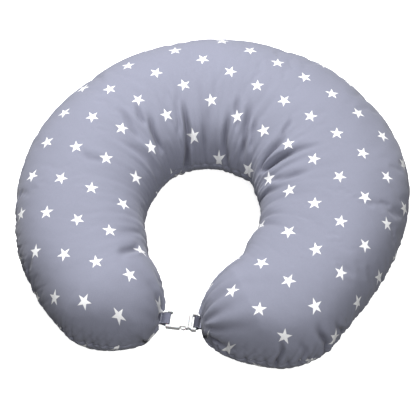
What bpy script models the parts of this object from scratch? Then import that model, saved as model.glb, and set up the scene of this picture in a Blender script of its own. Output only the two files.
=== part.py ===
"""A C-shaped nursing pillow: a stuffed casing in a zipped cover, with a buckle across the mouth.

Metres, +Z up. The pillow lies flat: its resting face is at Z = 0, its back is towards +Y and its
mouth towards -Y. The origin is under the middle of the pillow's box. The pillow bends at the middle
of its back, so every soft piece is made in two halves that meet at the bend plane.
"""

from math import cos, pi, radians, sin, sqrt

import bmesh
import bpy
from mathutils import Matrix, Vector

# ---- Cushion, in plan ----
SPINE_HALF_WIDTH = 0.194     # the centre line of the C is an ellipse, open at the front
SPINE_HALF_DEPTH = 0.202
MOUTH_GAP = 0.0634           # between the two lobes, where the straps are
MOUTH_OFFSET = -0.01446      # the mouth lies a little to the left of the bend plane
LEFT_REACH = 0.012           # how much further forward the left arm runs than the ellipse
RIGHT_REACH = -0.0125
BACK_HALF_WIDTH = 0.111      # half widths of the stuffed tube, from the back round to the lobes
LEFT_SHOULDER_HALF_WIDTH = 0.105
RIGHT_SHOULDER_HALF_WIDTH = 0.124
LEFT_ARM_HALF_WIDTH = 0.0965
RIGHT_ARM_HALF_WIDTH = 0.0975
LEFT_LOBE_HALF_WIDTH = 0.0835
RIGHT_LOBE_HALF_WIDTH = 0.0905
SHOULDER_ANGLE = radians(63)  # where the shoulder and arm widths are measured, from the back
ARM_ANGLE = radians(112)
LOBE_POWER = 1.75            # roundness of the lobe ends: 2 is an ellipse

# ---- Cushion, in section ----
HEIGHT = 0.158
SEAM_HEIGHT = 0.070          # the side seam, where the top and bottom panels meet
CROWN_POWER = 2.25           # roundness of the crown: 2 is an ellipse
BELLY_POWER = 2.2
FLAT_SHARE = 0.45            # share of the width that rests flat

# ---- Cloth layers ----
COVER_THICKNESS = 0.0010
CASING_THICKNESS = 0.0008
LAYER_GAP = 0.0004           # between cover, casing and filling
SEAM_GAP = 0.0004            # between the top and bottom panels
BEND_GAP = 0.0004            # between the two halves

# ---- Straps ----
STRAP_WIDTH = 0.0190
STRAP_THICKNESS = 0.0012
STRAP_BACKSET = 0.187        # from the middle of the C forward to the straps
STRAP_CLEARANCE = 0.0006     # to the cover, and to the bar that the strap goes round
STRAP_MARGIN = 0.004         # the lobe is level for this much past each side of the strap
TACK_WIDTH = 0.0024          # bar tack: a raised band of stitching across the strap
TACK_HEIGHT = 0.0005
TACK_FROM_LOBE = 0.0035

# ---- Side-release buckle; its own X runs from the socket to the plug, and its mouth is at 0 ----
BUCKLE_MOUTH_SHIFT = 0.0120  # from the middle of the mouth gap towards the plug
BUCKLE_WIDTH = 0.0280
BUCKLE_THICKNESS = 0.0090
BUCKLE_WALL = 0.0017
SOCKET_LENGTH = 0.0330
PLUG_LENGTH = 0.0120
BAR_LENGTH = 0.0034
WEB_SLOT_LENGTH = 0.0044
WEB_SLOT_SPARE = 0.0012      # slot width over the strap's width, on each side
CAVITY_DEPTH = 0.0200
MOUTH_RIM = 0.0030           # length of the rim that the prongs hook behind
RIM_INSET = 0.0014           # how much narrower the mouth rim is than the socket, on each side
RIM_POST_WIDTH = 0.0022
WINDOW_LENGTH = 0.0095
BUCKLE_GAP = 0.0003          # between the closed halves
CORNER_RADIUS = 0.0020
EDGE_ROUND = 0.0008
TONGUE_HALF_WIDTH = 0.0018
TONGUE_LENGTH = 0.0125
TONGUE_THICKNESS = 0.0034

# ---- Prongs of the plug ----
PRONG_THICKNESS = 0.0048
PRONG_ARM_WIDTH = 0.0018
PRONG_ARM_Y = 0.0080         # middle of the springy arm, from the buckle's centre line
PRONG_PIVOT_X = 0.0020
PRONG_BOSS_RADIUS = 0.0010
PRONG_POCKET_GAP = 0.0003
PRONG_HOOK = 0.0011          # how far the shoulder stands behind the rim
PRONG_TIP_X = -0.0150
PRONG_BUTTON_PROUD = 0.0004  # the button past the socket's side

# ---- Zip, round the outside of the left half ----
ZIP_START = radians(-66)     # angle along the centre line where the closed end is
ZIP_END = radians(-20)
ZIP_CLEARANCE = 0.0006       # between the cover and the tapes
TAPE_HEIGHT = 0.0080
TAPE_THICKNESS = 0.0006
TEETH_WIDTH = 0.0024         # each row, up or down from the seam
TEETH_THICKNESS = 0.0014
ZIP_MIDDLE_GAP = 0.0004
STOP_LENGTH = 0.0040
STOP_THICKNESS = 0.0022
SLIDER_LENGTH = 0.0100
SLIDER_HEIGHT = 0.0090
SLIDER_THICKNESS = 0.0042
SLIDER_WALL = 0.0009
SLIDER_GAP = 0.0004
PULL_LENGTH = 0.0260
PULL_WIDTH = 0.0062
PULL_THICKNESS = 0.0012
PULL_GAP = 0.0004            # round the slider's arch
PULL_TURN_GAP = 0.0002       # round the pull's end bar, which turns inside the arch
ARCH_HALF_LENGTH = 0.0022
ARCH_LEG = 0.0010
ARCH_HALF_HEIGHT = 0.0009
ARCH_TOP = 0.0008

# ---- Care label, sewn into the outer seam of the right half ----
LABEL_ANGLE = radians(32)
LABEL_WIDTH = 0.0300
LABEL_DROP = 0.0240
LABEL_THICKNESS = 0.0005
LABEL_CLEARANCE = 0.0008

# ---- How finely the soft pieces are divided ----
BODY_RINGS = 15
LOBE_RINGS = 6
PANEL_STEPS = 10


# =====================================================================================
# Scene helpers
# =====================================================================================

def clear_scene():
    for obj in list(bpy.data.objects):
        bpy.data.objects.remove(obj, do_unlink=True)


def make_material(name, colour, roughness, metallic=0.0):
    material = bpy.data.materials.new(name)
    material.use_nodes = True
    shader = material.node_tree.nodes["Principled BSDF"]
    shader.inputs["Base Color"].default_value = (*colour, 1.0)
    shader.inputs["Roughness"].default_value = roughness
    shader.inputs["Metallic"].default_value = metallic
    return material


def add_object(name, bm, material, parent=None, smooth_angle=None):
    """Turns a bmesh in world coordinates into a named object, placed under its parent empty."""
    bmesh.ops.recalc_face_normals(bm, faces=bm.faces)
    mesh = bpy.data.meshes.new(name)
    bm.to_mesh(mesh)
    bm.free()
    if smooth_angle is not None:
        mesh.shade_smooth()
        mesh.set_sharp_from_angle(angle=smooth_angle)
    mesh.materials.append(material)
    obj = bpy.data.objects.new(name, mesh)
    bpy.context.scene.collection.objects.link(obj)
    if parent is not None:
        obj.parent = parent
        mesh.transform(Matrix.Translation(-Vector(parent.location)))
    return obj


def add_empty(name, place, parent=None):
    empty = bpy.data.objects.new(name, None)
    bpy.context.scene.collection.objects.link(empty)
    empty.location = place
    if parent is not None:
        empty.parent = parent
        empty.matrix_parent_inverse = Matrix.Translation(-Vector(parent.location))
    return empty


def extruded(outline, low, high):
    """A bmesh prism: the closed XY outline, from height low to height high."""
    bm = bmesh.new()
    base = bm.faces.new([bm.verts.new((x, y, low)) for x, y in outline])
    made = bmesh.ops.extrude_face_region(bm, geom=[base])
    top = [v for v in made["geom"] if isinstance(v, bmesh.types.BMVert)]
    bmesh.ops.translate(bm, verts=top, vec=(0.0, 0.0, high - low))
    bmesh.ops.recalc_face_normals(bm, faces=bm.faces)
    return bm


def box(low, high):
    corners = [(low[0], low[1]), (high[0], low[1]), (high[0], high[1]), (low[0], high[1])]
    return extruded(corners, low[2], high[2])


def rounded_outline(corners, radius, steps=3):
    """The outline with each convex corner replaced by an arc of about this radius."""
    points = []
    count = len(corners)
    for i, corner in enumerate(corners):
        here = Vector(corner)
        before = (Vector(corners[i - 1]) - here)
        after = (Vector(corners[(i + 1) % count]) - here)
        reach = min(radius, before.length / 2.2, after.length / 2.2)
        start = here + before.normalized() * reach
        end = here + after.normalized() * reach
        for k in range(steps + 1):
            share = k / steps
            points.append(tuple(start.lerp(here, share).lerp(here.lerp(end, share), share)))
    return points


def cut(target, name, bm):
    """Subtracts a bmesh shape from an object with a Boolean modifier."""
    bmesh.ops.recalc_face_normals(bm, faces=bm.faces)
    mesh = bpy.data.meshes.new(name)
    bm.to_mesh(mesh)
    bm.free()
    cutter = bpy.data.objects.new(name, mesh)
    bpy.context.scene.collection.objects.link(cutter)
    if target.parent is not None:
        cutter.parent = target.parent
        mesh.transform(Matrix.Translation(-Vector(target.parent.location)))
    cutter.hide_render = True
    cutter.display_type = "WIRE"
    modifier = target.modifiers.new(name, "BOOLEAN")
    modifier.operation = "DIFFERENCE"
    modifier.solver = "EXACT"
    modifier.object = cutter


def moved(bm, offset):
    bmesh.ops.translate(bm, verts=bm.verts, vec=offset)
    return bm


# =====================================================================================
# The cushion's form
# =====================================================================================

def blended(value, stops):
    """Eases from one stop's size to the next; stops are (place, size) in rising order."""
    if value <= stops[0][0]:
        return stops[0][1]
    for (place, size), (next_place, next_size) in zip(stops, stops[1:]):
        if value <= next_place:
            share = (value - place) / (next_place - place)
            ease = share * share * (3.0 - 2.0 * share)
            return size + (next_size - size) * ease
    return stops[-1][1]


# Angle along the ellipse, from the back to the centre of each lobe; side is -1 left, +1 right.
# solve_sweeps() below sets both, so that the lobes leave MOUTH_GAP between them.
SWEEP = {-1: radians(140), 1: radians(140)}


def spine_point(angle):
    """A point of the centre line, before the pillow is centred on its box."""
    reach = LEFT_REACH if angle < 0 else RIGHT_REACH
    share = abs(angle) / SWEEP[-1 if angle < 0 else 1]
    return Vector((
        SPINE_HALF_WIDTH * sin(angle),
        SPINE_HALF_DEPTH * cos(angle) - reach * share * share,
    ))


def spine_direction(angle):
    step = 1e-4
    return (spine_point(angle + step) - spine_point(angle - step)).normalized()


def half_width(angle):
    stops = [
        (-SWEEP[-1], LEFT_LOBE_HALF_WIDTH),
        (-ARM_ANGLE, LEFT_ARM_HALF_WIDTH),
        (-SHOULDER_ANGLE, LEFT_SHOULDER_HALF_WIDTH),
        (0.0, BACK_HALF_WIDTH),
        (SHOULDER_ANGLE, RIGHT_SHOULDER_HALF_WIDTH),
        (ARM_ANGLE, RIGHT_ARM_HALF_WIDTH),
        (SWEEP[1], RIGHT_LOBE_HALF_WIDTH),
    ]
    return blended(angle, stops)


def ring_places(side):
    """(centre, outward direction, half width, share of full size) from the bend plane to the tip."""
    end = side * SWEEP[side]
    places = []
    for k in range(BODY_RINGS + 1):
        angle = end * k / BODY_RINGS
        along = spine_direction(angle)
        outward = Vector((-along.y, along.x))
        places.append((spine_point(angle), outward, half_width(angle), 0.0))
    centre, outward, lobe, _ = places[-1]
    along = Vector((outward.y, -outward.x)) * side
    for k in range(1, LOBE_RINGS + 1):
        reach = sin(pi / 2.0 * k / (LOBE_RINGS + 0.35))
        places.append((centre + along * lobe * reach, outward, lobe, reach))
    return places


def lobe_share(reach):
    return (1.0 - reach ** LOBE_POWER) ** (1.0 / LOBE_POWER)


def crown(q):
    """Height of the top panel over the seam, 0 to 1, at q from -1 (inside) to 1 (outside)."""
    return max(0.0, 1.0 - abs(q) ** CROWN_POWER) ** (1.0 / CROWN_POWER)


def belly(q):
    """Drop of the bottom panel under the seam, 0 to 1."""
    past = max(0.0, (abs(q) - FLAT_SHARE) / (1.0 - FLAT_SHARE))
    return max(0.0, 1.0 - past ** BELLY_POWER) ** (1.0 / BELLY_POWER)


def section_steps(upper, steps):
    """Places across the section, close together near the seam."""
    places = [-cos(pi * k / steps) for k in range(steps + 1)]
    if upper:
        return places
    inner = [p for p in places if abs(p) > FLAT_SHARE + 0.04]
    return sorted(inner + [-FLAT_SHARE, 0.0, FLAT_SHARE])


def lobe_edge(side):
    """How near the lobe comes to the bend plane across its strap, before the pillow is centred."""
    nearest = None
    rings = ring_places(side)
    for (c0, o0, w0, r0), (c1, o1, w1, r1) in zip(rings, rings[1:]):
        for edge in (-1.0, 1.0):
            start = c0 + o0 * edge * w0 * lobe_share(r0)
            end = c1 + o1 * edge * w1 * lobe_share(r1)
            for k in range(9):
                spot = start.lerp(end, k / 8.0)
                beside = abs(spot.y + STRAP_BACKSET) <= STRAP_WIDTH / 2.0 + STRAP_MARGIN
                if beside and (nearest is None or side * spot.x < nearest):
                    nearest = side * spot.x
    return nearest


def solve_sweeps():
    """Halves the range of each arm's sweep until its lobe stands at its side of the mouth."""
    for side in (-1, 1):
        wanted = MOUTH_GAP / 2.0 + side * MOUTH_OFFSET
        low, high = radians(115), radians(172)
        for _ in range(40):
            SWEEP[side] = (low + high) / 2.0
            edge = lobe_edge(side)
            if edge is None or edge > wanted:
                low = SWEEP[side]
            else:
                high = SWEEP[side]


solve_sweeps()


def box_middle():
    """The middle of the cushion's plan box, from its outline."""
    xs, ys = [], []
    for side in (-1, 1):
        for centre, outward, width, reach in ring_places(side):
            for edge in (-1.0, 1.0):
                point = centre + outward * edge * width * lobe_share(reach)
                xs.append(point.x)
                ys.append(point.y)
    return Vector(((min(xs) + max(xs)) / 2.0, (min(ys) + max(ys)) / 2.0))


MIDDLE = box_middle()


def ring(place, upper, inset, steps, side):
    """One half section of a layer that lies inset from the cover's outside."""
    centre, outward, width, reach = place
    shrink = lobe_share(reach)
    half = max(width * shrink - inset, 0.0012)
    share = min(1.0, half / (LEFT_LOBE_HALF_WIDTH - inset)) ** 0.8
    at = centre - MIDDLE
    if reach > 0.0:
        along = Vector((outward.y, -outward.x)) * side
        at = at - along * inset * reach
    points = []
    for q in section_steps(upper, steps):
        spot = at + outward * half * q
        if upper:
            z = SEAM_HEIGHT + SEAM_GAP / 2.0
            z += (HEIGHT - SEAM_HEIGHT - SEAM_GAP / 2.0 - inset) * share * crown(q)
        else:
            z = SEAM_HEIGHT - SEAM_GAP / 2.0
            z -= (SEAM_HEIGHT - SEAM_GAP / 2.0 - inset) * share * belly(q)
        points.append(Vector((spot.x, spot.y, z)))
    return points


def with_bend_gap(rings, side):
    """Moves the first ring clear of the bend plane."""
    for point in rings[0]:
        point.x = -MIDDLE.x + side * BEND_GAP / 2.0
    return rings


def skin(bm, rows):
    """Faces between neighbouring rows of vertices; returns the rows."""
    for row, following in zip(rows, rows[1:]):
        for a, b, c, d in zip(row, row[1:], following[1:], following):
            bm.faces.new((a, b, c, d))
    return rows


def panel(name, side, upper, inset, thickness, material, parent):
    """One half of a top or bottom panel: a dish with a wall, open at the seam and the bend."""
    bm = bmesh.new()
    walls = []
    for depth in (inset, inset + thickness):
        rings = [ring(p, upper, depth, PANEL_STEPS, side) for p in ring_places(side)]
        rings = with_bend_gap(rings, side)
        walls.append(skin(bm, [[bm.verts.new(p) for p in points] for points in rings]))
    outer, inner = walls

    def border(rows):
        return (rows[0] + [row[-1] for row in rows[1:]]
                + rows[-1][-2::-1] + [row[0] for row in rows[-2:0:-1]])

    rim_out, rim_in = border(outer), border(inner)
    count = len(rim_out)
    for k in range(count):
        after = (k + 1) % count
        bm.faces.new((rim_out[k], rim_out[after], rim_in[after], rim_in[k]))
    return add_object(name, bm, material, parent, smooth_angle=radians(50))


def filling(name, side, inset, material, parent):
    """One half of the stuffing: a solid that ends flat at the bend plane and at the lobe's tip."""
    bm = bmesh.new()
    rows = []
    for place in ring_places(side):
        top = ring(place, True, inset, PANEL_STEPS, side)
        low = ring(place, False, inset, PANEL_STEPS, side)
        rows.append(top + low[-2:0:-1])
    rows = with_bend_gap(rows, side)
    loops = []
    for points in rows:
        for point in (points[0], points[PANEL_STEPS]):
            point.z = SEAM_HEIGHT
        loops.append([bm.verts.new(p) for p in points])
    for loop, following in zip(loops, loops[1:]):
        count = len(loop)
        for k in range(count):
            after = (k + 1) % count
            bm.faces.new((loop[k], loop[after], following[after], following[k]))
    bm.faces.new(loops[0])
    bm.faces.new(loops[-1])
    return add_object(name, bm, material, parent, smooth_angle=radians(50))


def outer_edge(angle, height=SEAM_HEIGHT):
    """A point of the cover's outer edge in plan, at this angle and height."""
    along = spine_direction(angle)
    outward = Vector((-along.y, along.x))
    width = half_width(angle)
    if height < SEAM_HEIGHT:
        drop = (SEAM_HEIGHT - height) / SEAM_HEIGHT
        past = (1.0 - drop ** BELLY_POWER) ** (1.0 / BELLY_POWER)
        width *= FLAT_SHARE + (1.0 - FLAT_SHARE) * past
    return spine_point(angle) - MIDDLE + outward * width


# =====================================================================================
# Straps and buckle
# =====================================================================================

STRAP_Y = -STRAP_BACKSET - MIDDLE.y
BEND_X = -MIDDLE.x


LEFT_LOBE_X = BEND_X - lobe_edge(-1)
RIGHT_LOBE_X = BEND_X + lobe_edge(1)
MOUTH_X = (LEFT_LOBE_X + RIGHT_LOBE_X) / 2.0 + BUCKLE_MOUTH_SHIFT
BUCKLE_ORIGIN = Vector((MOUTH_X, STRAP_Y, SEAM_HEIGHT))
HALF_THICKNESS = BUCKLE_THICKNESS / 2.0
HALF_WIDTH = BUCKLE_WIDTH / 2.0
SLOT_HALF_WIDTH = STRAP_WIDTH / 2.0 + WEB_SLOT_SPARE


def strap(name, bar_from, bar_to, lobe_x, side, material, parent):
    """A folded tab: two layers sewn together at the lobe, round the bar between bar_from and bar_to."""
    inner_half = HALF_THICKNESS * 0.5 + STRAP_CLEARANCE
    outer_half = inner_half + STRAP_THICKNESS
    far = bar_from if side < 0 else bar_to
    near = bar_to if side < 0 else bar_from
    inner_end = near - side * STRAP_CLEARANCE
    outer_end = inner_end - side * STRAP_THICKNESS
    inner_start = far + side * (STRAP_CLEARANCE + 0.0012)
    root = lobe_x - side * STRAP_CLEARANCE
    neck = root - side * TACK_FROM_LOBE
    half_root = STRAP_THICKNESS
    shape = [
        (root, -half_root), (neck, -half_root), (inner_start, -outer_half), (outer_end, -outer_half),
        (outer_end, outer_half), (inner_start, outer_half), (neck, half_root), (root, half_root),
    ]
    hole = [
        (inner_start, -inner_half), (inner_end, -inner_half),
        (inner_end, inner_half), (inner_start, inner_half),
    ]
    low, high = -STRAP_WIDTH / 2.0, STRAP_WIDTH / 2.0
    turn = Matrix.Rotation(pi / 2.0, 4, "X")
    outer = extruded(rounded_outline(shape, 0.0009, 2), low, high)
    outer.transform(turn)
    tab = add_object(name, moved(outer, BUCKLE_ORIGIN_IN_STRAP), material, parent, radians(40))
    inner = extruded(rounded_outline(hole, 0.0006, 2), low * 1.2, high * 1.2)
    inner.transform(turn)
    cut(tab, name + "_fold", moved(inner, BUCKLE_ORIGIN_IN_STRAP))
    return tab


BUCKLE_ORIGIN_IN_STRAP = Vector((0.0, STRAP_Y, SEAM_HEIGHT))


def bar_tack(name, lobe_x, side, material, parent):
    """The band of close stitching that holds a strap's layers together, over its neck."""
    start = lobe_x - side * (STRAP_CLEARANCE + 0.0004)
    end = start - side * TACK_WIDTH
    base = STRAP_THICKNESS + LAYER_GAP
    low = (min(start, end), STRAP_Y - STRAP_WIDTH * 0.46, SEAM_HEIGHT + base)
    high = (max(start, end), STRAP_Y + STRAP_WIDTH * 0.46, SEAM_HEIGHT + base + TACK_HEIGHT)
    return add_object(name, box(low, high), material, parent)


def socket(material, parent):
    """The half that the prongs click into: a flat sleeve with side windows and a strap bar."""
    rim_half = HALF_WIDTH - RIM_INSET
    window_end = -MOUTH_RIM - WINDOW_LENGTH
    waist = rim_half - 0.0022
    side = [
        (-SOCKET_LENGTH, HALF_WIDTH), (window_end, HALF_WIDTH), (window_end + 0.0012, waist),
        (-MOUTH_RIM - 0.0006, waist), (-MOUTH_RIM, rim_half), (0.0, rim_half),
    ]
    outline = side[::-1] + [(x, -y) for x, y in side]
    body = extruded(rounded_outline(outline, CORNER_RADIUS * 0.55, 3), -HALF_THICKNESS, HALF_THICKNESS)
    flat = [e for e in body.edges if abs(e.verts[0].co.z - e.verts[1].co.z) < 1e-9]
    bmesh.ops.bevel(body, geom=flat, offset=EDGE_ROUND, segments=2, affect="EDGES", profile=0.5)
    obj = add_object("buckle_socket", moved(body, BUCKLE_ORIGIN), material, parent, radians(35))

    inside = HALF_THICKNESS - BUCKLE_WALL
    mouth_half = rim_half - RIM_POST_WIDTH
    back = -CAVITY_DEPTH
    hollow = box((back, -mouth_half, -inside), (0.002, mouth_half, inside))
    cut(obj, "socket_cavity", moved(hollow, BUCKLE_ORIGIN))
    for way in (-1.0, 1.0):
        low_y, high_y = sorted((way * (mouth_half - 0.001), way * (HALF_WIDTH + 0.002)))
        window = box((window_end, low_y, -inside), (-MOUTH_RIM, high_y, inside))
        cut(obj, f"socket_window_{'back' if way > 0 else 'front'}", moved(window, BUCKLE_ORIGIN))
    slot_from = -SOCKET_LENGTH + BAR_LENGTH
    slot = box((slot_from, -SLOT_HALF_WIDTH, -0.01), (slot_from + WEB_SLOT_LENGTH, SLOT_HALF_WIDTH, 0.01))
    cut(obj, "socket_strap_slot", moved(slot, BUCKLE_ORIGIN))
    thin_bar(obj, "socket", -SOCKET_LENGTH - 0.001, slot_from)
    return obj


def thin_bar(obj, name, start, end):
    """Takes the strap bar down to half thickness where the strap wraps it."""
    for way in (-1.0, 1.0):
        low_z, high_z = sorted((way * HALF_THICKNESS * 0.5, way * (HALF_THICKNESS + 0.002)))
        relief = box((start, -SLOT_HALF_WIDTH, low_z), (end + 0.0001, SLOT_HALF_WIDTH, high_z))
        cut(obj, f"{name}_bar_relief_{'top' if way > 0 else 'bottom'}", moved(relief, BUCKLE_ORIGIN))


def plug(material, parent):
    """The half that clicks in: a frame with a strap bar and a guiding tongue."""
    neck = HALF_WIDTH - RIM_INSET - 0.0010
    side = [
        (BUCKLE_GAP, neck), (0.0026, neck), (0.0050, HALF_WIDTH), (PLUG_LENGTH, HALF_WIDTH),
    ]
    outline = side + [(x, -y) for x, y in side[::-1]]
    body = extruded(rounded_outline(outline, CORNER_RADIUS * 0.6, 3), -HALF_THICKNESS, HALF_THICKNESS)
    flat = [e for e in body.edges if abs(e.verts[0].co.z - e.verts[1].co.z) < 1e-9]
    bmesh.ops.bevel(body, geom=flat, offset=EDGE_ROUND, segments=2, affect="EDGES", profile=0.5)
    obj = add_object("buckle_plug", moved(body, BUCKLE_ORIGIN), material, parent, radians(35))

    tongue = [
        (0.0010, TONGUE_HALF_WIDTH), (-TONGUE_LENGTH + 0.0015, TONGUE_HALF_WIDTH),
        (-TONGUE_LENGTH, 0.0008), (-TONGUE_LENGTH, -0.0008),
        (-TONGUE_LENGTH + 0.0015, -TONGUE_HALF_WIDTH), (0.0010, -TONGUE_HALF_WIDTH),
    ]
    join(obj, "plug_tongue", moved(extruded(tongue, -TONGUE_THICKNESS / 2, TONGUE_THICKNESS / 2),
                                   BUCKLE_ORIGIN))
    slot_from = PLUG_LENGTH - BAR_LENGTH - WEB_SLOT_LENGTH
    slot = box((slot_from, -SLOT_HALF_WIDTH, -0.01), (slot_from + WEB_SLOT_LENGTH, SLOT_HALF_WIDTH, 0.01))
    cut(obj, "plug_strap_slot", moved(slot, BUCKLE_ORIGIN))
    thin_bar(obj, "plug", slot_from + WEB_SLOT_LENGTH, PLUG_LENGTH + 0.001)
    for way in (-1.0, 1.0):
        end = "back" if way > 0 else "front"
        reach = PRONG_BOSS_RADIUS + PRONG_POCKET_GAP
        depth = PRONG_THICKNESS / 2 + PRONG_POCKET_GAP
        pocket = bmesh.new()
        bmesh.ops.create_cone(pocket, segments=16, radius1=reach, radius2=reach, depth=2 * depth,
                              cap_ends=True)
        moved(pocket, (PRONG_PIVOT_X, way * PRONG_ARM_Y, 0.0))
        cut(obj, f"plug_pocket_{end}", moved(pocket, BUCKLE_ORIGIN))
        half = PRONG_ARM_WIDTH / 2 + PRONG_POCKET_GAP
        throat = [
            (-0.001, way * (PRONG_ARM_Y + half)), (PRONG_PIVOT_X, way * (PRONG_ARM_Y + half)),
            (PRONG_PIVOT_X, way * (PRONG_ARM_Y - half)), (-0.001, way * (PRONG_ARM_Y - half - 0.0009)),
        ]
        cut(obj, f"plug_throat_{end}", moved(extruded(throat, -depth, depth), BUCKLE_ORIGIN))
    return obj


def join(target, name, bm):
    """Adds a bmesh shape to an object with a Boolean union."""
    cut(target, name, bm)
    target.modifiers[name].operation = "UNION"


def prong(name, way, material, parent):
    """A springy arm with a thumb button, and a shoulder that hooks behind the socket's rim."""
    arm_in = PRONG_ARM_Y - PRONG_ARM_WIDTH / 2
    arm_out = PRONG_ARM_Y + PRONG_ARM_WIDTH / 2
    rim_in = HALF_WIDTH - RIM_INSET - RIM_POST_WIDTH
    hook = rim_in + PRONG_HOOK
    button = HALF_WIDTH + PRONG_BUTTON_PROUD
    shoulder = -MOUTH_RIM - PRONG_POCKET_GAP
    window_end = -MOUTH_RIM - WINDOW_LENGTH + PRONG_POCKET_GAP
    outline = [
        (PRONG_PIVOT_X, arm_in), (PRONG_PIVOT_X, arm_out), (shoulder + 0.0004, arm_out),
        (shoulder, hook), (shoulder - 0.0010, button - 0.0008), (shoulder - 0.0034, button),
        (shoulder - 0.0062, button - 0.0008), (window_end, rim_in - 0.0008),
        (PRONG_TIP_X, rim_in - 0.0022), (PRONG_TIP_X + 0.0008, arm_in - 0.0002),
        (window_end, arm_in - 0.0006),
    ]
    outline = [(x, way * y) for x, y in outline]
    if way < 0:
        outline = outline[::-1]
    half = PRONG_THICKNESS / 2
    body = extruded(outline, -half, half)
    upright = [e for e in body.edges if abs(e.verts[0].co.z - e.verts[1].co.z) > 1e-6
               and e.verts[0].co.x < shoulder - 0.0005]
    bmesh.ops.bevel(body, geom=upright, offset=0.0005, segments=2, affect="EDGES", profile=0.5)
    obj = add_object(name, moved(body, BUCKLE_ORIGIN), material, parent, radians(35))
    boss = bmesh.new()
    bmesh.ops.create_cone(boss, segments=16, radius1=PRONG_BOSS_RADIUS, radius2=PRONG_BOSS_RADIUS,
                          depth=PRONG_THICKNESS, cap_ends=True)
    moved(boss, (PRONG_PIVOT_X, way * PRONG_ARM_Y, 0.0))
    join(obj, name + "_root", moved(boss, BUCKLE_ORIGIN))
    return obj


# =====================================================================================
# Zip: it follows one circular arc, so that the slider can run round the arc's centre
# =====================================================================================

def circle_through(a, b, c):
    """(centre, radius) of the circle through three points of the plan."""
    d = 2.0 * (a.x * (b.y - c.y) + b.x * (c.y - a.y) + c.x * (a.y - b.y))
    aa, bb, cc = a.length_squared, b.length_squared, c.length_squared
    x = (aa * (b.y - c.y) + bb * (c.y - a.y) + cc * (a.y - b.y)) / d
    y = (aa * (c.x - b.x) + bb * (a.x - c.x) + cc * (b.x - a.x)) / d
    centre = Vector((x, y))
    return centre, (a - centre).length


ZIP_MIDDLE = (ZIP_START + ZIP_END) / 2.0
ZIP_CENTRE, ZIP_EDGE_RADIUS = circle_through(
    outer_edge(ZIP_START), outer_edge(ZIP_MIDDLE), outer_edge(ZIP_END))
ZIP_RADIUS = ZIP_CLEARANCE + max(
    (outer_edge(ZIP_START + (ZIP_END - ZIP_START) * k / 40.0) - ZIP_CENTRE).length for k in range(41))


def bearing(point):
    """Angle of a point about the zip's centre, measured from +Y towards -X."""
    from_centre = point - ZIP_CENTRE
    return -Vector((0.0, 1.0)).angle_signed(from_centre)


ZIP_FROM = bearing(outer_edge(ZIP_START))
ZIP_TO = bearing(outer_edge(ZIP_END))


def arc_block(start, end, inner, outer, low, high, step=radians(2.5)):
    """A bent bar round the zip's centre, between two bearings, radii and heights over the seam."""
    count = max(1, round(abs(end - start) / step))
    bm = bmesh.new()
    radii = ((inner, low), (outer, low), (outer, high), (inner, high))
    section = [bm.verts.new((0.0, radius, height)) for radius, height in radii]
    bm.faces.new(section)
    edges = list(bm.edges)
    first = Matrix.Rotation(start, 3, "Z")
    bmesh.ops.rotate(bm, verts=bm.verts, cent=(0, 0, 0), matrix=first)
    bmesh.ops.spin(bm, geom=edges, cent=(0, 0, 0), axis=(0, 0, 1), angle=end - start, steps=count,
                   use_merge=False)
    bmesh.ops.holes_fill(bm, edges=[e for e in bm.edges if e.is_boundary], sides=4)
    bmesh.ops.translate(bm, verts=bm.verts, vec=(ZIP_CENTRE.x, ZIP_CENTRE.y, SEAM_HEIGHT))
    return bm


TEETH_FROM = ZIP_RADIUS + TAPE_THICKNESS + SEAM_GAP
TEETH_TO = TEETH_FROM + TEETH_THICKNESS


def zip_parts(tape_material, teeth_material, metal, parent):
    half_gap = ZIP_MIDDLE_GAP / 2.0
    stop_turn = STOP_LENGTH / ZIP_RADIUS
    for word, way in (("upper", 1.0), ("lower", -1.0)):
        low, high = sorted((way * half_gap, way * TAPE_HEIGHT))
        tape = arc_block(ZIP_FROM, ZIP_TO, ZIP_RADIUS, ZIP_RADIUS + TAPE_THICKNESS, low, high)
        add_object(f"zip_tape_{word}", tape, tape_material, parent)
        low, high = sorted((way * half_gap, way * TEETH_WIDTH))
        ease = stop_turn * 1.3 * (1 if ZIP_TO > ZIP_FROM else -1)
        teeth = arc_block(ZIP_FROM + ease, ZIP_TO - ease, TEETH_FROM, TEETH_TO, low, high)
        add_object(f"zip_teeth_{word}", teeth, teeth_material, parent)
    for word, start, way in (("closed", ZIP_FROM, 1.0), ("open", ZIP_TO, -1.0)):
        turn = way * stop_turn * (1 if ZIP_TO > ZIP_FROM else -1)
        stop = arc_block(start + turn * 0.15, start + turn, TEETH_FROM, TEETH_FROM + STOP_THICKNESS,
                         -TEETH_WIDTH, TEETH_WIDTH)
        add_object(f"zip_stop_{word}_end", stop, metal, parent)


SLIDER_TURN = (SLIDER_LENGTH + STOP_LENGTH) / ZIP_RADIUS
SLIDER_AT = ZIP_FROM + (1 if ZIP_TO > ZIP_FROM else -1) * (SLIDER_TURN * 0.5 + 2.2 * STOP_LENGTH / ZIP_RADIUS)


def slider_frame():
    """Moves a shape made at the origin (X along the zip, Y outwards, Z up) to the slider's place."""
    turn = Matrix.Rotation(SLIDER_AT, 4, "Z")
    place = Matrix.Translation((ZIP_CENTRE.x, ZIP_CENTRE.y, SEAM_HEIGHT))
    return place @ turn @ Matrix.Translation((0.0, TEETH_FROM, 0.0))


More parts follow.
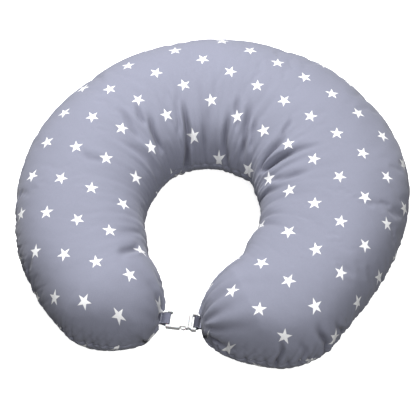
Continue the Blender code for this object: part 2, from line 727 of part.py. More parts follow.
def slider(material, parent):
    """A body that straddles the teeth from outside, with a lug for the pull."""
    half_length, half_height = SLIDER_LENGTH / 2, SLIDER_HEIGHT / 2
    body = box((-half_length, 0.0, -half_height), (half_length, SLIDER_THICKNESS, half_height))
    upright = [e for e in body.edges if abs(e.verts[0].co.y - e.verts[1].co.y) > 1e-6]
    bmesh.ops.bevel(body, geom=upright, offset=0.0018, segments=3, affect="EDGES", profile=0.5)
    body.transform(slider_frame())
    obj = add_object("zip_slider", body, material, parent, radians(40))
    channel = box((-SLIDER_LENGTH, -0.001, -TEETH_WIDTH - SLIDER_GAP),
                  (SLIDER_LENGTH, TEETH_THICKNESS + 2 * SLIDER_GAP, TEETH_WIDTH + SLIDER_GAP))
    channel.transform(slider_frame())
    cut(obj, "slider_channel", channel)
    arch = box((-ARCH_HALF_LENGTH, SLIDER_THICKNESS - 0.0004, -ARCH_HALF_HEIGHT),
               (ARCH_HALF_LENGTH, ARCH_HOLE_TOP + ARCH_TOP, ARCH_HALF_HEIGHT))
    arch.transform(slider_frame())
    join(obj, "slider_arch", arch)
    hole_half = ARCH_HALF_LENGTH - ARCH_LEG
    hole = box((-hole_half, SLIDER_THICKNESS, -2 * ARCH_HALF_HEIGHT),
               (hole_half, ARCH_HOLE_TOP, 2 * ARCH_HALF_HEIGHT))
    hole.transform(slider_frame())
    cut(obj, "slider_arch_hole", hole)
    return obj


# The pull's end bar is square in section, so it turns in a circle round its corners.
BAR_SWING = PULL_THICKNESS / 2 * sqrt(2.0)
PULL_AXIS_OUT = SLIDER_THICKNESS + BAR_SWING + PULL_TURN_GAP
ARCH_HOLE_TOP = PULL_AXIS_OUT + BAR_SWING + PULL_TURN_GAP


def pull(material, parent):
    """A flat tab whose end bar turns inside the slider's arch; at rest it lies along the zip."""
    half = PULL_THICKNESS / 2
    outline = [(-half, -PULL_WIDTH / 2), (PULL_LENGTH, -PULL_WIDTH / 2),
               (PULL_LENGTH, PULL_WIDTH / 2), (-half, PULL_WIDTH / 2)]
    place = slider_frame() @ Matrix.Translation((0.0, PULL_AXIS_OUT, 0.0))
    body = extruded(rounded_outline(outline, 0.0016, 3), -half, half)
    body.transform(Matrix.Rotation(-pi / 2, 4, "X"))
    body.transform(place)
    obj = add_object("zip_pull", body, material, parent, radians(40))
    arch_corner = Vector((ARCH_HALF_LENGTH, ARCH_HOLE_TOP + ARCH_TOP - PULL_AXIS_OUT))
    eye_half = ARCH_HALF_HEIGHT + PULL_GAP
    eye = box((half, -0.004, -eye_half), (arch_corner.length + PULL_GAP, 0.004, eye_half))
    eye.transform(place)
    cut(obj, "pull_eye", eye)
    return obj


def care_label(material, parent):
    """A small blank flap that hangs from the outer seam."""
    at = outer_edge(LABEL_ANGLE)
    along = spine_direction(LABEL_ANGLE)
    outward = Vector((-along.y, along.x))
    start = LABEL_CLEARANCE
    low = (-LABEL_WIDTH / 2, start, -LABEL_DROP)
    high = (LABEL_WIDTH / 2, start + LABEL_THICKNESS, -0.001)
    body = box(low, high)
    turn = Matrix.Rotation(-Vector((0.0, 1.0)).angle_signed(outward), 4, "Z")
    body.transform(Matrix.Translation((at.x, at.y, SEAM_HEIGHT)) @ turn)
    return add_object("care_label", body, material, parent)


# =====================================================================================
# Build
# =====================================================================================

def build():
    clear_scene()
    printed = make_material("printed_cotton", (0.34, 0.35, 0.44), 0.85)
    plain = make_material("casing_cotton", (0.86, 0.86, 0.84), 0.9)
    fibre = make_material("polyester_fibre", (0.93, 0.93, 0.92), 0.95)
    webbing = make_material("strap_cotton", (0.33, 0.34, 0.42), 0.85)
    white = make_material("white_acetal", (0.88, 0.89, 0.90), 0.35)
    thread = make_material("grey_thread", (0.40, 0.41, 0.50), 0.8)
    tape = make_material("zip_tape", (0.30, 0.31, 0.38), 0.85)
    nylon = make_material("zip_nylon", (0.42, 0.43, 0.50), 0.5)
    metal = make_material("zip_metal", (0.60, 0.61, 0.63), 0.3, 1.0)
    label = make_material("label_satin", (0.90, 0.90, 0.90), 0.5)

    bend = add_empty("bend_axis", (BEND_X, outer_edge(0.0).y, 0.0))
    left, right = None, bend
    casing_inset = COVER_THICKNESS + LAYER_GAP
    fill_inset = casing_inset + CASING_THICKNESS + LAYER_GAP
    for side, word, parent in ((-1, "left", left), (1, "right", right)):
        panel(f"cover_top_{word}", side, True, 0.0, COVER_THICKNESS, printed, parent)
        panel(f"cover_bottom_{word}", side, False, 0.0, COVER_THICKNESS, printed, parent)
        panel(f"casing_top_{word}", side, True, casing_inset, CASING_THICKNESS, plain, parent)
        panel(f"casing_bottom_{word}", side, False, casing_inset, CASING_THICKNESS, plain, parent)
        filling(f"filling_{word}", side, fill_inset, fibre, parent)

    socket(white, left)
    plug(white, right)
    socket_bar = MOUTH_X - SOCKET_LENGTH
    plug_bar = MOUTH_X + PLUG_LENGTH
    strap("strap_left", socket_bar, socket_bar + BAR_LENGTH, LEFT_LOBE_X, -1, webbing, left)
    strap("strap_right", plug_bar - BAR_LENGTH, plug_bar, RIGHT_LOBE_X, 1, webbing, right)
    bar_tack("bar_tack_left", LEFT_LOBE_X, -1, thread, left)
    bar_tack("bar_tack_right", RIGHT_LOBE_X, 1, thread, right)
    for way, word in ((1.0, "back"), (-1.0, "front")):
        pivot = BUCKLE_ORIGIN + Vector((PRONG_PIVOT_X, way * PRONG_ARM_Y, 0.0))
        flex = add_empty(f"prong_{word}_flex", pivot)
        prong(f"plug_prong_{word}", way, white, flex)

    zip_parts(tape, nylon, metal, left)
    zip_axis = add_empty("zip_axis", (ZIP_CENTRE.x, ZIP_CENTRE.y, SEAM_HEIGHT))
    slider(metal, zip_axis)
    eye = slider_frame() @ Vector((0.0, PULL_AXIS_OUT, 0.0))
    pull(metal, add_empty("pull_axis", eye))
    care_label(label, right)


build()
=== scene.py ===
# %% [markdown]
# # A nursing pillow
# The pillow is a stuffed C in a printed cotton cover. Two short cloth tabs cross its mouth and meet
# in a white side-release buckle. The rigid parts come ready made from the frame. This script makes
# what has to look soft: the cover, its folds and seams, the tabs, the zip and the finishes.

# %% Load the frame
from math import cos, exp, pi, radians, sin, sqrt

import bmesh
import bpy
import numpy as np
from mathutils import Matrix, Vector, kdtree, noise


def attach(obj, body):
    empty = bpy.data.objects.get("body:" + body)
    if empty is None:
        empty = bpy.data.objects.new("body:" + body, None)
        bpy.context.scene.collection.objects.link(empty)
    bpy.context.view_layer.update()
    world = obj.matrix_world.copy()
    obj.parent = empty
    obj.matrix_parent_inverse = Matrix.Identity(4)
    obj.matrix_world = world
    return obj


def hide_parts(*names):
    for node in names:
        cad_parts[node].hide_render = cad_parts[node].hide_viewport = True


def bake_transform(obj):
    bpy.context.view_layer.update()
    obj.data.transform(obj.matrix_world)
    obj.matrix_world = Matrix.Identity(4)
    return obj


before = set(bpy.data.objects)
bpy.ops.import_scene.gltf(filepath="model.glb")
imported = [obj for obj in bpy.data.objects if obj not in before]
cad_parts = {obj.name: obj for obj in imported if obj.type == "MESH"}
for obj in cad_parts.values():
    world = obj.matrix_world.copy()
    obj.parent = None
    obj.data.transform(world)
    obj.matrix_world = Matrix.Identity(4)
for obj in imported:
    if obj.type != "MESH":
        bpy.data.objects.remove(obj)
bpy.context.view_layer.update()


# %% Two helpers that put an object in the scene
def linked(name, data):
    """An object with this data, in the scene."""
    obj = bpy.data.objects.new(name, data)
    bpy.context.scene.collection.objects.link(obj)
    return obj


def built(name, bm):
    """The object that a bmesh describes, shaded smooth. The bmesh is used up."""
    mesh = bpy.data.meshes.new(name)
    bm.to_mesh(mesh)
    bm.free()
    mesh.shade_smooth()
    return linked(name, mesh)


# %% [markdown]
# ## The camera
# A product photographer stands a little to the right of the pillow and looks down on it steeply,
# so that the whole C shows. The lens is long, which keeps the near lobes from looking too large.

# %% Camera
AIM = Vector((-0.0036, -0.0326, 0.080))
AZIMUTH = radians(7.94)
ELEVATION = radians(58.44)
DISTANCE = 2.116
FRAME_WIDTH_AT_AIM = 0.640
SENSOR = 36.0

towards_camera = Vector((sin(AZIMUTH) * cos(ELEVATION), -cos(AZIMUTH) * cos(ELEVATION),
                         sin(ELEVATION)))
camera_data = bpy.data.cameras.new("studio_camera")
camera_data.sensor_width = SENSOR
camera_data.lens = SENSOR * DISTANCE / FRAME_WIDTH_AT_AIM
camera = linked("studio_camera", camera_data)
camera.location = AIM + towards_camera * DISTANCE
camera.rotation_euler = (-towards_camera).to_track_quat("-Z", "Y").to_euler()
bpy.context.scene.camera = camera
print("lens", round(camera_data.lens, 1), "mm")

# %% [markdown]
# ## The studio
# The floor is a large pale sheet that glows a little. The key lamp stands high behind the pillow on
# the left, so the back is brightest and the rounded fronts of the lobes fall into shade, which is
# what makes a stuffed shape read as round. A weaker lamp lights the lobes from the front on the
# right. The sky is bright overhead and dims towards the ground, for soft shade under the edges.

# %% The floor
FLOOR_SIZE = 12.0
FLOOR_DROP = 0.0005
FLOOR_GLOW = 0.80

floor_bm = bmesh.new()
bmesh.ops.create_grid(floor_bm, x_segments=1, y_segments=1, size=FLOOR_SIZE / 2)
floor = built("floor", floor_bm)
floor.location.z = -FLOOR_DROP
floor.visible_diffuse = False
floor.visible_glossy = False
floor_finish = bpy.data.materials.new("studio_floor")
floor_finish.use_nodes = True
floor_shader = floor_finish.node_tree.nodes["Principled BSDF"]
floor_shader.inputs["Base Color"].default_value = (0.9, 0.9, 0.9, 1.0)
floor_shader.inputs["Emission Color"].default_value = (1.0, 1.0, 1.0, 1.0)
floor_shader.inputs["Emission Strength"].default_value = FLOOR_GLOW
floor_shader.inputs["Roughness"].default_value = 1.0
floor.data.materials.append(floor_finish)

# %% Lamps and sky
LAMPS = (
    # name, place, size, power
    ("key_lamp", (-0.42, 0.85, 1.55), 0.7, 36.5),
    ("top_lamp", (0.35, -0.9, 1.7), 0.9, 17.0),
)
SKY_STRENGTH = 0.335
SKY_HEIGHTS = (-0.25, 0.55)
SKY_SHADES = (0.22, 1.0)

for name, place, size, power in LAMPS:
    lamp_data = bpy.data.lights.new(name, "AREA")
    lamp_data.shape = "DISK"
    lamp_data.size = size
    lamp_data.energy = power
    lamp = linked(name, lamp_data)
    lamp.location = place
    lamp.rotation_euler = (AIM - Vector(place)).to_track_quat("-Z", "Y").to_euler()

world = bpy.data.worlds.new("studio")
bpy.context.scene.world = world
world.use_nodes = True
sky = world.node_tree
background = sky.nodes["Background"]
background.inputs["Strength"].default_value = SKY_STRENGTH
towards = sky.nodes.new("ShaderNodeTexCoord")
spread = sky.nodes.new("ShaderNodeSeparateXYZ")
ramp = sky.nodes.new("ShaderNodeMapRange")
ramp.interpolation_type = "SMOOTHSTEP"
for socket, value in zip(ramp.inputs[1:5], SKY_HEIGHTS + SKY_SHADES):
    socket.default_value = value
sky.links.new(towards.outputs["Generated"], spread.inputs[0])
sky.links.new(spread.outputs[2], ramp.inputs[0])
sky.links.new(ramp.outputs[0], background.inputs["Color"])
bpy.context.scene.view_settings.view_transform = "Standard"

# %% [markdown]
# ## Writing finishes
# A finish is a small graph of nodes. Written out link by link it is hard to read, so a socket is
# wrapped in a class that knows the arithmetic operators: `1 - mask * 0.5` then adds the nodes.
# Any other node comes from `Finish.node`.

# %% A socket that can be used in sums
class Wire:
    """An output socket of a finish, on which plain arithmetic works."""

    def __init__(self, finish, socket):
        self.finish = finish
        self.socket = socket

    def maths(self, operation, *others):
        return self.finish.maths(operation, self, *others)

    def __add__(self, other):
        return self.maths("ADD", other)

    __radd__ = __add__

    def __mul__(self, other):
        return self.maths("MULTIPLY", other)

    __rmul__ = __mul__

    def __sub__(self, other):
        return self.maths("SUBTRACT", other)

    def __rsub__(self, other):
        return self.finish.maths("SUBTRACT", other, self)

    def __truediv__(self, other):
        return self.maths("DIVIDE", other)


# %% A finish: one material and its nodes
class Finish:
    """A Principled material whose nodes are written as expressions."""

    def __init__(self, name, colour, roughness, fixed=None):
        self.material = bpy.data.materials.new(name)
        self.material.use_nodes = True
        self.tree = self.material.node_tree
        self.shader = self.tree.nodes["Principled BSDF"]
        self.shader.inputs["Base Color"].default_value = (*colour, 1.0)
        self.shader.inputs["Roughness"].default_value = roughness
        for key, value in (fixed or {}).items():
            self.shader.inputs[key].default_value = value

    def put(self, socket, value):
        if isinstance(value, Wire):
            self.tree.links.new(value.socket, socket)
        elif isinstance(value, (tuple, list)) and len(value) == 3 and socket.type == "RGBA":
            socket.default_value = (*value, 1.0)
        else:
            socket.default_value = value

    def node(self, kind, settings=None, out=0, **sockets):
        """Adds a node; sockets are named in lower case, or by number as i0, i1 and so on."""
        made = self.tree.nodes.new(kind)
        for key, value in (settings or {}).items():
            setattr(made, key, value)
        named = {s.name.lower().replace(" ", "_"): s for s in reversed(made.inputs) if s.enabled}
        for key, value in sockets.items():
            by_number = key[0] == "i" and key[1:].isdigit()
            self.put(made.inputs[int(key[1:])] if by_number else named[key], value)
        return Wire(self, made.outputs[out])

    def maths(self, operation, *values):
        sockets = {f"i{k}": value for k, value in enumerate(values)}
        return self.node("ShaderNodeMath", {"operation": operation}, **sockets)

    def mix(self, factor, first, second):
        """A colour between first and second."""
        return self.node("ShaderNodeMix", {"data_type": "RGBA"}, out=2, i0=factor, i6=first, i7=second)

    def between(self, value, low, high):
        """0 below low, 1 above high, smooth in between."""
        return self.node("ShaderNodeMapRange", {"interpolation_type": "SMOOTHSTEP"},
                         i0=value, i1=low, i2=high, i3=0.0, i4=1.0)

    def place(self):
        return self.node("ShaderNodeTexCoord", out=3)

    def uv(self, name):
        return self.node("ShaderNodeUVMap", {"uv_map": name})

    def noise(self, at, scale, detail=2.0, roughness=0.5):
        return self.node("ShaderNodeTexNoise", vector=at, scale=scale, detail=detail,
                         roughness=roughness)

    def split(self, vector):
        made = self.tree.nodes.new("ShaderNodeSeparateXYZ")
        self.put(made.inputs[0], vector)
        return [Wire(self, s) for s in made.outputs]

    def join(self, x, y, z=0.0):
        return self.node("ShaderNodeCombineXYZ", x=x, y=y, z=z)

    def bump(self, height, strength, depth):
        made = self.node("ShaderNodeBump", height=height, strength=strength, distance=depth)
        self.put(self.shader.inputs["Normal"], made)
        return made

    def colour(self, value):
        self.put(self.shader.inputs["Base Color"], value)

    def roughness(self, value):
        self.put(self.shader.inputs["Roughness"], value)

    def on(self, *pieces):
        """Gives the pieces this material."""
        for piece in pieces:
            piece.data.materials.append(self.material)


# %% [markdown]
# ## The cushion's form
# The C follows an ellipse that is open at the front. Across it, the crown is a soft arch over the
# side seam, and the underside is flat where the weight rests. These sizes are the solid model's,
# so the cloth starts exactly in the space that the solid cover holds.

# %% Sizes of the form
SPINE_MIDDLE = np.array((-0.0058, -0.0335))
SPINE_HALF_WIDTH = 0.194
SPINE_HALF_DEPTH = 0.202
SWEEP = {-1: radians(139.96), 1: radians(147.84)}
REACH = {-1: 0.012, 1: -0.0125}
WIDTH_PLACES = np.array((-SWEEP[-1], radians(-112), radians(-63), 0.0,
                         radians(63), radians(112), SWEEP[1]))
HALF_WIDTHS = np.array((0.0835, 0.0965, 0.105, 0.111, 0.124, 0.0975, 0.0905))
HEIGHT = 0.158
SEAM_HEIGHT = 0.070
CROWN_POWER = 2.25
BELLY_POWER = 1.9
FLAT_SHARE = 0.12
LOBE_POWER = 1.75
TIP_HEIGHT_POWER = 0.8
LINE_STEPS = 1200
TIP_STEPS = 60
PROFILE_STEPS = 4000
PROFILE_HALF_WIDTH = 0.1


# %% The centre line, with straight ends that run on to the lobes' tips
def smooth_step(share):
    share = np.clip(share, 0.0, 1.0)
    return share * share * (3.0 - 2.0 * share)


def eased(value, places, sizes):
    out = np.full_like(value, sizes[0])
    for a, b, p, q in zip(places, places[1:], sizes, sizes[1:]):
        share = smooth_step((value - a) / (b - a))
        out = np.where(value >= a, p + (q - p) * share, out)
    return out


def run_along(points):
    """How far along a row of points each one lies."""
    return np.concatenate(((0.0,), np.cumsum(np.linalg.norm(np.diff(points, axis=0), axis=1))))


def centre_line(angle):
    reach = np.where(angle < 0, REACH[-1], REACH[1])
    end = np.where(angle < 0, SWEEP[-1], SWEEP[1])
    x = SPINE_HALF_WIDTH * np.sin(angle)
    y = SPINE_HALF_DEPTH * np.cos(angle) - reach * (np.abs(angle) / end) ** 2
    return np.stack((x, y), -1) + SPINE_MIDDLE


def stations(count):
    """count places evenly along the C, tip to tip: centre, outward direction, half width, length."""
    fine = np.linspace(-SWEEP[-1], SWEEP[1], LINE_STEPS)
    line = centre_line(fine)
    width = eased(fine, WIDTH_PLACES, HALF_WIDTHS)
    way = np.gradient(line, axis=0)
    way /= np.linalg.norm(way, axis=1)[:, None]
    reach = np.sin(np.linspace(0.0, pi / 2, TIP_STEPS))[1:]
    taper = (1.0 - reach ** LOBE_POWER) ** (1.0 / LOBE_POWER)
    ends = []
    for k, sign in ((0, -1.0), (-1, 1.0)):
        points = line[k] + sign * way[k] * width[k] * reach[:, None]
        ends.append((points, np.repeat(way[k][None], len(reach), 0), width[k] * taper))
    before, after = ends
    line = np.vstack((before[0][::-1], line, after[0]))
    way = np.vstack((before[1][::-1], way, after[1]))
    width = np.concatenate((before[2][::-1], width, after[2]))
    run = run_along(line)
    at = np.linspace(0.0, run[-1], count)
    pick = lambda values: np.interp(at, run, values)
    centre = np.stack((pick(line[:, 0]), pick(line[:, 1])), -1)
    along = np.stack((pick(way[:, 0]), pick(way[:, 1])), -1)
    along /= np.linalg.norm(along, axis=1)[:, None]
    outward = np.stack((-along[:, 1], along[:, 0]), -1)
    off_middle = np.where(line[:, 1] < 0, np.inf, np.abs(line[:, 0] - SPINE_MIDDLE[0]))
    at_back = np.argmin(off_middle)
    return centre, outward, pick(width), at - run[at_back]


# %% One turn round the section: across share q, and height share, at even steps
def section_turn(count):
    """q and height share round the section, evenly spaced; the outer seam is first."""
    def half(arch, height, steps):
        q = -np.cos(np.linspace(0.0, pi, PROFILE_STEPS))
        z = arch(q)
        step = np.hypot(np.diff(q) * PROFILE_HALF_WIDTH, np.diff(z) * height)
        run = np.concatenate(((0.0,), np.cumsum(step)))
        at = np.linspace(0.0, run[-1], steps + 1)
        return np.interp(at, run, q), np.interp(at, run, z), at

    def crown(q):
        return np.clip(1.0 - np.abs(q) ** CROWN_POWER, 0, 1) ** (1.0 / CROWN_POWER)

    def belly(q):
        past = np.clip((np.abs(q) - FLAT_SHARE) / (1.0 - FLAT_SHARE), 0, 1)
        return np.clip(1.0 - past ** BELLY_POWER, 0, 1) ** (1.0 / BELLY_POWER)

    top_q, top_z, top_run = half(crown, HEIGHT - SEAM_HEIGHT, count // 2)
    low_q, low_z, low_run = half(belly, SEAM_HEIGHT, count // 2)
    q = np.concatenate((top_q[::-1], low_q[1:-1]))
    z = np.concatenate((top_z[::-1], -low_z[1:-1]))
    run = np.concatenate((top_run[::-1] - top_run[-1] / 2, low_run[1:-1] - low_run[-1] / 2))
    return q, z, run


# %% [markdown]
# ## The sheet that becomes the cover
# `create_grid` gives a flat sheet of squares, one column for each station along the C and one row
# for each step round the section. Rolling it up over the form makes the cover. Every point keeps
# its number in the sheet, so that the cloth's flat places can be given to it later as a UV map.

# %% Where each point of the sheet goes on the form
LOBE_LIFT = 0.22
LIFT_REACH = 0.085
THINNEST = 0.0002
SIM_ALONG = 240
SIM_AROUND = 112
FINE_ALONG = 760
FINE_AROUND = 256


def height_share(width, full):
    """Share of the full height that the cushion has where it is this wide."""
    return np.clip(width / full, 0.0, 1.0) ** TIP_HEIGHT_POWER


def cushion_points(along_count, around_count, inset=0.0):
    """Places of the form as an array (along, around, xyz)."""
    centre, outward, width, run = stations(along_count)
    q, z_share, _ = section_turn(around_count)
    half = np.maximum(width - inset, THINNEST)
    share = height_share(half, HALF_WIDTHS[0] - inset)
    from_tip = np.minimum(run - run[0], run[-1] - run)
    lift = 1.0 - LOBE_LIFT * smooth_step((LIFT_REACH - from_tip) / LIFT_REACH)
    rise = np.where(z_share[None] >= 0, HEIGHT - SEAM_HEIGHT - inset,
                    (SEAM_HEIGHT - inset) * lift[:, None])
    points = np.empty((along_count, around_count, 3))
    points[..., :2] = centre[:, None] + outward[:, None] * (half[:, None] * q[None])[..., None]
    points[..., 2] = SEAM_HEIGHT + share[:, None] * rise * z_share[None]
    return points


# %% Rolling up a sheet
def rolled_sheet(name, points):
    """A grid moved onto points, rolled up edge to edge. Its points keep the array's numbers."""
    columns, rows = points.shape[:2]
    bm = bmesh.new()
    bmesh.ops.create_grid(bm, x_segments=columns - 1, y_segments=rows, size=1.0)
    number = bm.verts.layers.int.new("sheet_point")
    order = sorted(bm.verts, key=lambda v: (round(v.co.y, 6), round(v.co.x, 6)))
    for k, vert in enumerate(order):
        row, column = divmod(k, columns)
        vert.co = points[column, row % rows]
        vert[number] = column * rows + row % rows
    edges = [order[c + columns * r] for c in range(columns) for r in (0, rows)]
    bmesh.ops.remove_doubles(bm, verts=edges, dist=1e-6)
    bmesh.ops.recalc_face_normals(bm, faces=bm.faces)
    return built(name, bm)


def sheet_numbers(mesh):
    found = np.empty(len(mesh.vertices), np.int32)
    mesh.attributes["sheet_point"].data.foreach_get("value", found)
    return found


# %% [markdown]
# ## How the cloth was cut
# A cover like this is cut flat, as a C that is more open than the stuffed one. Doing up the buckle
# closes it, so there is more cloth along the inner edge than the pillow needs, and that cloth
# gathers in folds that fan out of the hole. `cut_open` gives the sheet as it was cut: the same
# sections, on a centre line that turns less round the back.

# %% The same cushion with its arms let open
OPENING = radians(25)
OPENING_SPREAD = 0.437
OPENING_CENTRE = -0.049
SLACK_FROM = 0.030


def opened_line(outward, run, equal_at=0.0):
    """The centre line turned open round the back, and its outward directions.

    Cloth that lies equal_at outside the centre line keeps its length, and cloth further in
    gets longer."""
    share = smooth_step((run - OPENING_CENTRE + OPENING_SPREAD) / (2 * OPENING_SPREAD))
    heading = np.unwrap(np.arctan2(-outward[:, 0], outward[:, 1])) + (share - 0.5) * OPENING
    longer = 1.0 + np.gradient(share, run) * OPENING * equal_at
    step = np.diff(run) * (longer[1:] + longer[:-1]) / 2
    line = []
    for wave in (np.cos(heading), np.sin(heading)):
        line.append(np.concatenate(((0.0,), np.cumsum(step * (wave[1:] + wave[:-1]) / 2))))
    line = np.stack(line, -1)
    start = np.array([np.interp(0.0, run, line[:, k]) for k in (0, 1)])
    return line - start, np.stack((-np.sin(heading), np.cos(heading)), -1)


def cut_open(shape):
    """The shape's sections on the opened centre line."""
    centre, outward, _, run = stations(len(shape))
    line, way = opened_line(outward, run, SLACK_FROM)
    sideways = ((shape[..., :2] - centre[:, None]) * outward[:, None]).sum(-1)
    cut = shape.copy()
    cut[..., :2] = line[:, None] + way[:, None] * sideways[..., None]
    return cut


def row_length(shape, row):
    return np.linalg.norm(np.diff(shape[:, row], axis=0), axis=1).sum()


SWELL = 0.006
start_shape = cushion_points(SIM_ALONG, SIM_AROUND, inset=SWELL)
cut_shape = cut_open(start_shape)
for row, place in ((0, "outer seam"), (SIM_AROUND // 2, "inner seam")):
    lengths = [round(row_length(shape, row), 3) for shape in (start_shape, cut_shape)]
    print(place, "closed and cut", lengths)

# %% [markdown]
# ## Blowing the cover up
# The cloth starts 6 mm inside its final place. Air pressure pushes it out while the springs of the
# cloth remember the more open cut, so the slack goes into small ripples, as on a stuffed cover.
# Half of that travel is kept, and no point may travel more than the cap.

# %% Run the cloth
SIM_FRAMES = 16
CAP = 0.014
CLOTH_SHARE = 0.5
SEED_HEIGHT = 0.001
SEED_SCALE = 70.0
HELD_BELOW = 0.03
HOLD = 0.6
CLOTH_SETTINGS = {
    "quality": 5,
    "mass": 0.002,
    "time_scale": 2.0,
    "tension_stiffness": 80,
    "compression_stiffness": 80,
    "shear_stiffness": 10,
    "bending_stiffness": 0.5,
    "tension_damping": 0.2,
    "compression_damping": 0.2,
    "shear_damping": 0.2,
    "bending_damping": 0.02,
    "air_damping": 1.0,
    "use_pressure": True,
    "uniform_pressure_force": 20,
    "vertex_group_mass": "hold",
}


def pushed_along(points, normals, heights):
    return points + normals * heights[..., None]


def surface_normals(points):
    """Normals of the rolled sheet at every point; the tips look along the sheet's ends."""
    down = np.gradient(points, axis=0)
    round_ = np.roll(points, -1, 1) - np.roll(points, 1, 1)
    normals = np.cross(round_, down)
    normals /= np.maximum(np.linalg.norm(normals, axis=2, keepdims=True), 1e-12)
    for end, inner in ((0, 1), (-1, -2)):
        way = points[end].mean(0) - points[inner].mean(0)
        normals[end] = way / max(np.linalg.norm(way), 1e-9)
    middle = points.mean(1, keepdims=True)
    inside = ((points - middle) * normals).sum(2)[1:-1].mean() < 0
    if inside:
        normals[1:-1] *= -1
    return normals


def ripple(points, scale):
    flat = points.reshape(-1, 3) * scale
    return np.array([noise.noise(Vector(p)) for p in flat]).reshape(points.shape[:2])


def blown_up(start, cut):
    """The start shape after the cloth has run, in the same order."""
    seeded = pushed_along(start, surface_normals(start), ripple(start, SEED_SCALE) * SEED_HEIGHT)
    obj = rolled_sheet("blow_up", seeded)
    number = sheet_numbers(obj.data)
    obj.shape_key_add(name="closed")
    key = obj.shape_key_add(name="cut")
    key.data.foreach_set("co", cut.reshape(-1, 3)[number].astype(np.float32).ravel())
    low = obj.vertex_groups.new(name="hold")
    low.add([k for k, v in enumerate(obj.data.vertices) if v.co.z < HELD_BELOW], HOLD, "REPLACE")
    cloth = obj.modifiers.new("cloth", "CLOTH")
    for setting, value in CLOTH_SETTINGS.items():
        setattr(cloth.settings, setting, value)
    cloth.settings.rest_shape_key = key
    cloth.settings.effector_weights.gravity = 0
    cloth.collision_settings.use_collision = False
    cloth.point_cache.frame_end = SIM_FRAMES
    for number_of_frame in range(1, SIM_FRAMES + 1):
        bpy.context.scene.frame_set(number_of_frame)
    done = obj.evaluated_get(bpy.context.evaluated_depsgraph_get()).data
    places = np.empty(len(done.vertices) * 3, np.float32)
    done.vertices.foreach_get("co", places)
    out = start.reshape(-1, 3).copy()
    out[number] = places.reshape(-1, 3)
    bpy.context.scene.frame_set(1)
    bpy.data.objects.remove(obj)
    return out.reshape(start.shape)


travel = (blown_up(start_shape, cut_shape) - start_shape) * CLOTH_SHARE
travel[[0, -1]] = travel[[1, -2]].mean(1, keepdims=True)
travel += surface_normals(start_shape) * SWELL
far = np.linalg.norm(travel, axis=2)
travel *= np.minimum(1.0, CAP / np.maximum(far, 1e-9))[..., None]
print("cloth travelled", far.mean().round(4), "m on average, at most", far.max().round(4))

# %% [markdown]
# ## Easing the outline
# A stuffed C is never quite the drawn one. Where the right arm turns in to its lobe the filling
# sits further from the hole, and round the bend it bulges into it. Each ease moves one side of the
# pillow in or out over a stretch of its length.

# %% Eases
EASES = (
    # along, side, reach along, move mm
    (0.140, -1, 0.050, -11.0),
    (0.225, -1, 0.045, -8.0),
    (0.350, -1, 0.050, 13.0),
    (0.435, -1, 0.048, 12.0),
    (0.530, -1, 0.035, -6.0),
    (0.400, 1, 0.045, -6.5),
    (0.472, 1, 0.030, 7.5),
    (0.540, 1, 0.038, -9.0),
    (0.592, 1, 0.020, -4.0),
    (-0.570, 1, 0.035, -5.0),
    (0.090, 1, 0.090, 6.0),
    (0.300, 1, 0.060, -2.0),
    (-0.290, 1, 0.120, 3.0),
    (-0.430, 1, 0.040, -1.5),
    (-0.480, 1, 0.030, 2.0),
)
EASE_WAYS = (1.0, 1.0, 0.3)


def eased_out(points):
    run = stations(len(points))[3]
    q = section_turn(points.shape[1])[0]
    height = np.zeros(points.shape[:2])
    for along, side, reach, move in EASES:
        beside = smooth_step((side * q - 0.1) / 0.8)
        height += 0.001 * move * np.exp(-((run - along) / reach) ** 2)[:, None] * beside[None]
    return height[..., None] * surface_normals(points) * EASE_WAYS


travel += eased_out(start_shape)

# %% [markdown]
# ## A finer sheet
# Folds and seams are narrower than the simulated squares, so the travel is carried over to a finer
# sheet by cubic interpolation, which is what subdividing the cloth would do.

# %% Carry the travel over
def cubic(values, at, closed):
    """Catmull-Rom interpolation down the first axis."""
    count = len(values)
    k = np.floor(at).astype(int)
    t = (at - k)[:, None, None]
    around = [(k + i) % count if closed else np.clip(k + i, 0, count - 1) for i in (-1, 0, 1, 2)]
    a, b, c, d = (values[i] for i in around)
    return 0.5 * (2 * b + (c - a) * t + (2 * a - 5 * b + 4 * c - d) * t ** 2
                  + (3 * b - a - 3 * c + d) * t ** 3)


def finer(values, along_count, around_count):
    columns, rows = values.shape[:2]
    values = cubic(values, np.linspace(0, columns - 1, along_count), False)
    turned = np.swapaxes(values, 0, 1)
    turned = cubic(turned, np.arange(around_count) * rows / around_count, True)
    return np.swapaxes(turned, 0, 1)


skin = cushion_points(FINE_ALONG, FINE_AROUND, SWELL) + finer(travel, FINE_ALONG, FINE_AROUND)
skin_normals = surface_normals(skin)
print("skin from", skin.reshape(-1, 3).min(0).round(4), "to", skin.reshape(-1, 3).max(0).round(4))

# %% [markdown]
# ## Folds
# Each fold is a valley in the cloth with a soft shoulder on both sides. It starts as nothing near
# the crown and gets deeper towards the seam, where the spare cloth is. A fold is placed by its
# distance along the C from the middle of the back, and by its share of the way across, from -1 at
# the hole to 1 at the outer seam.

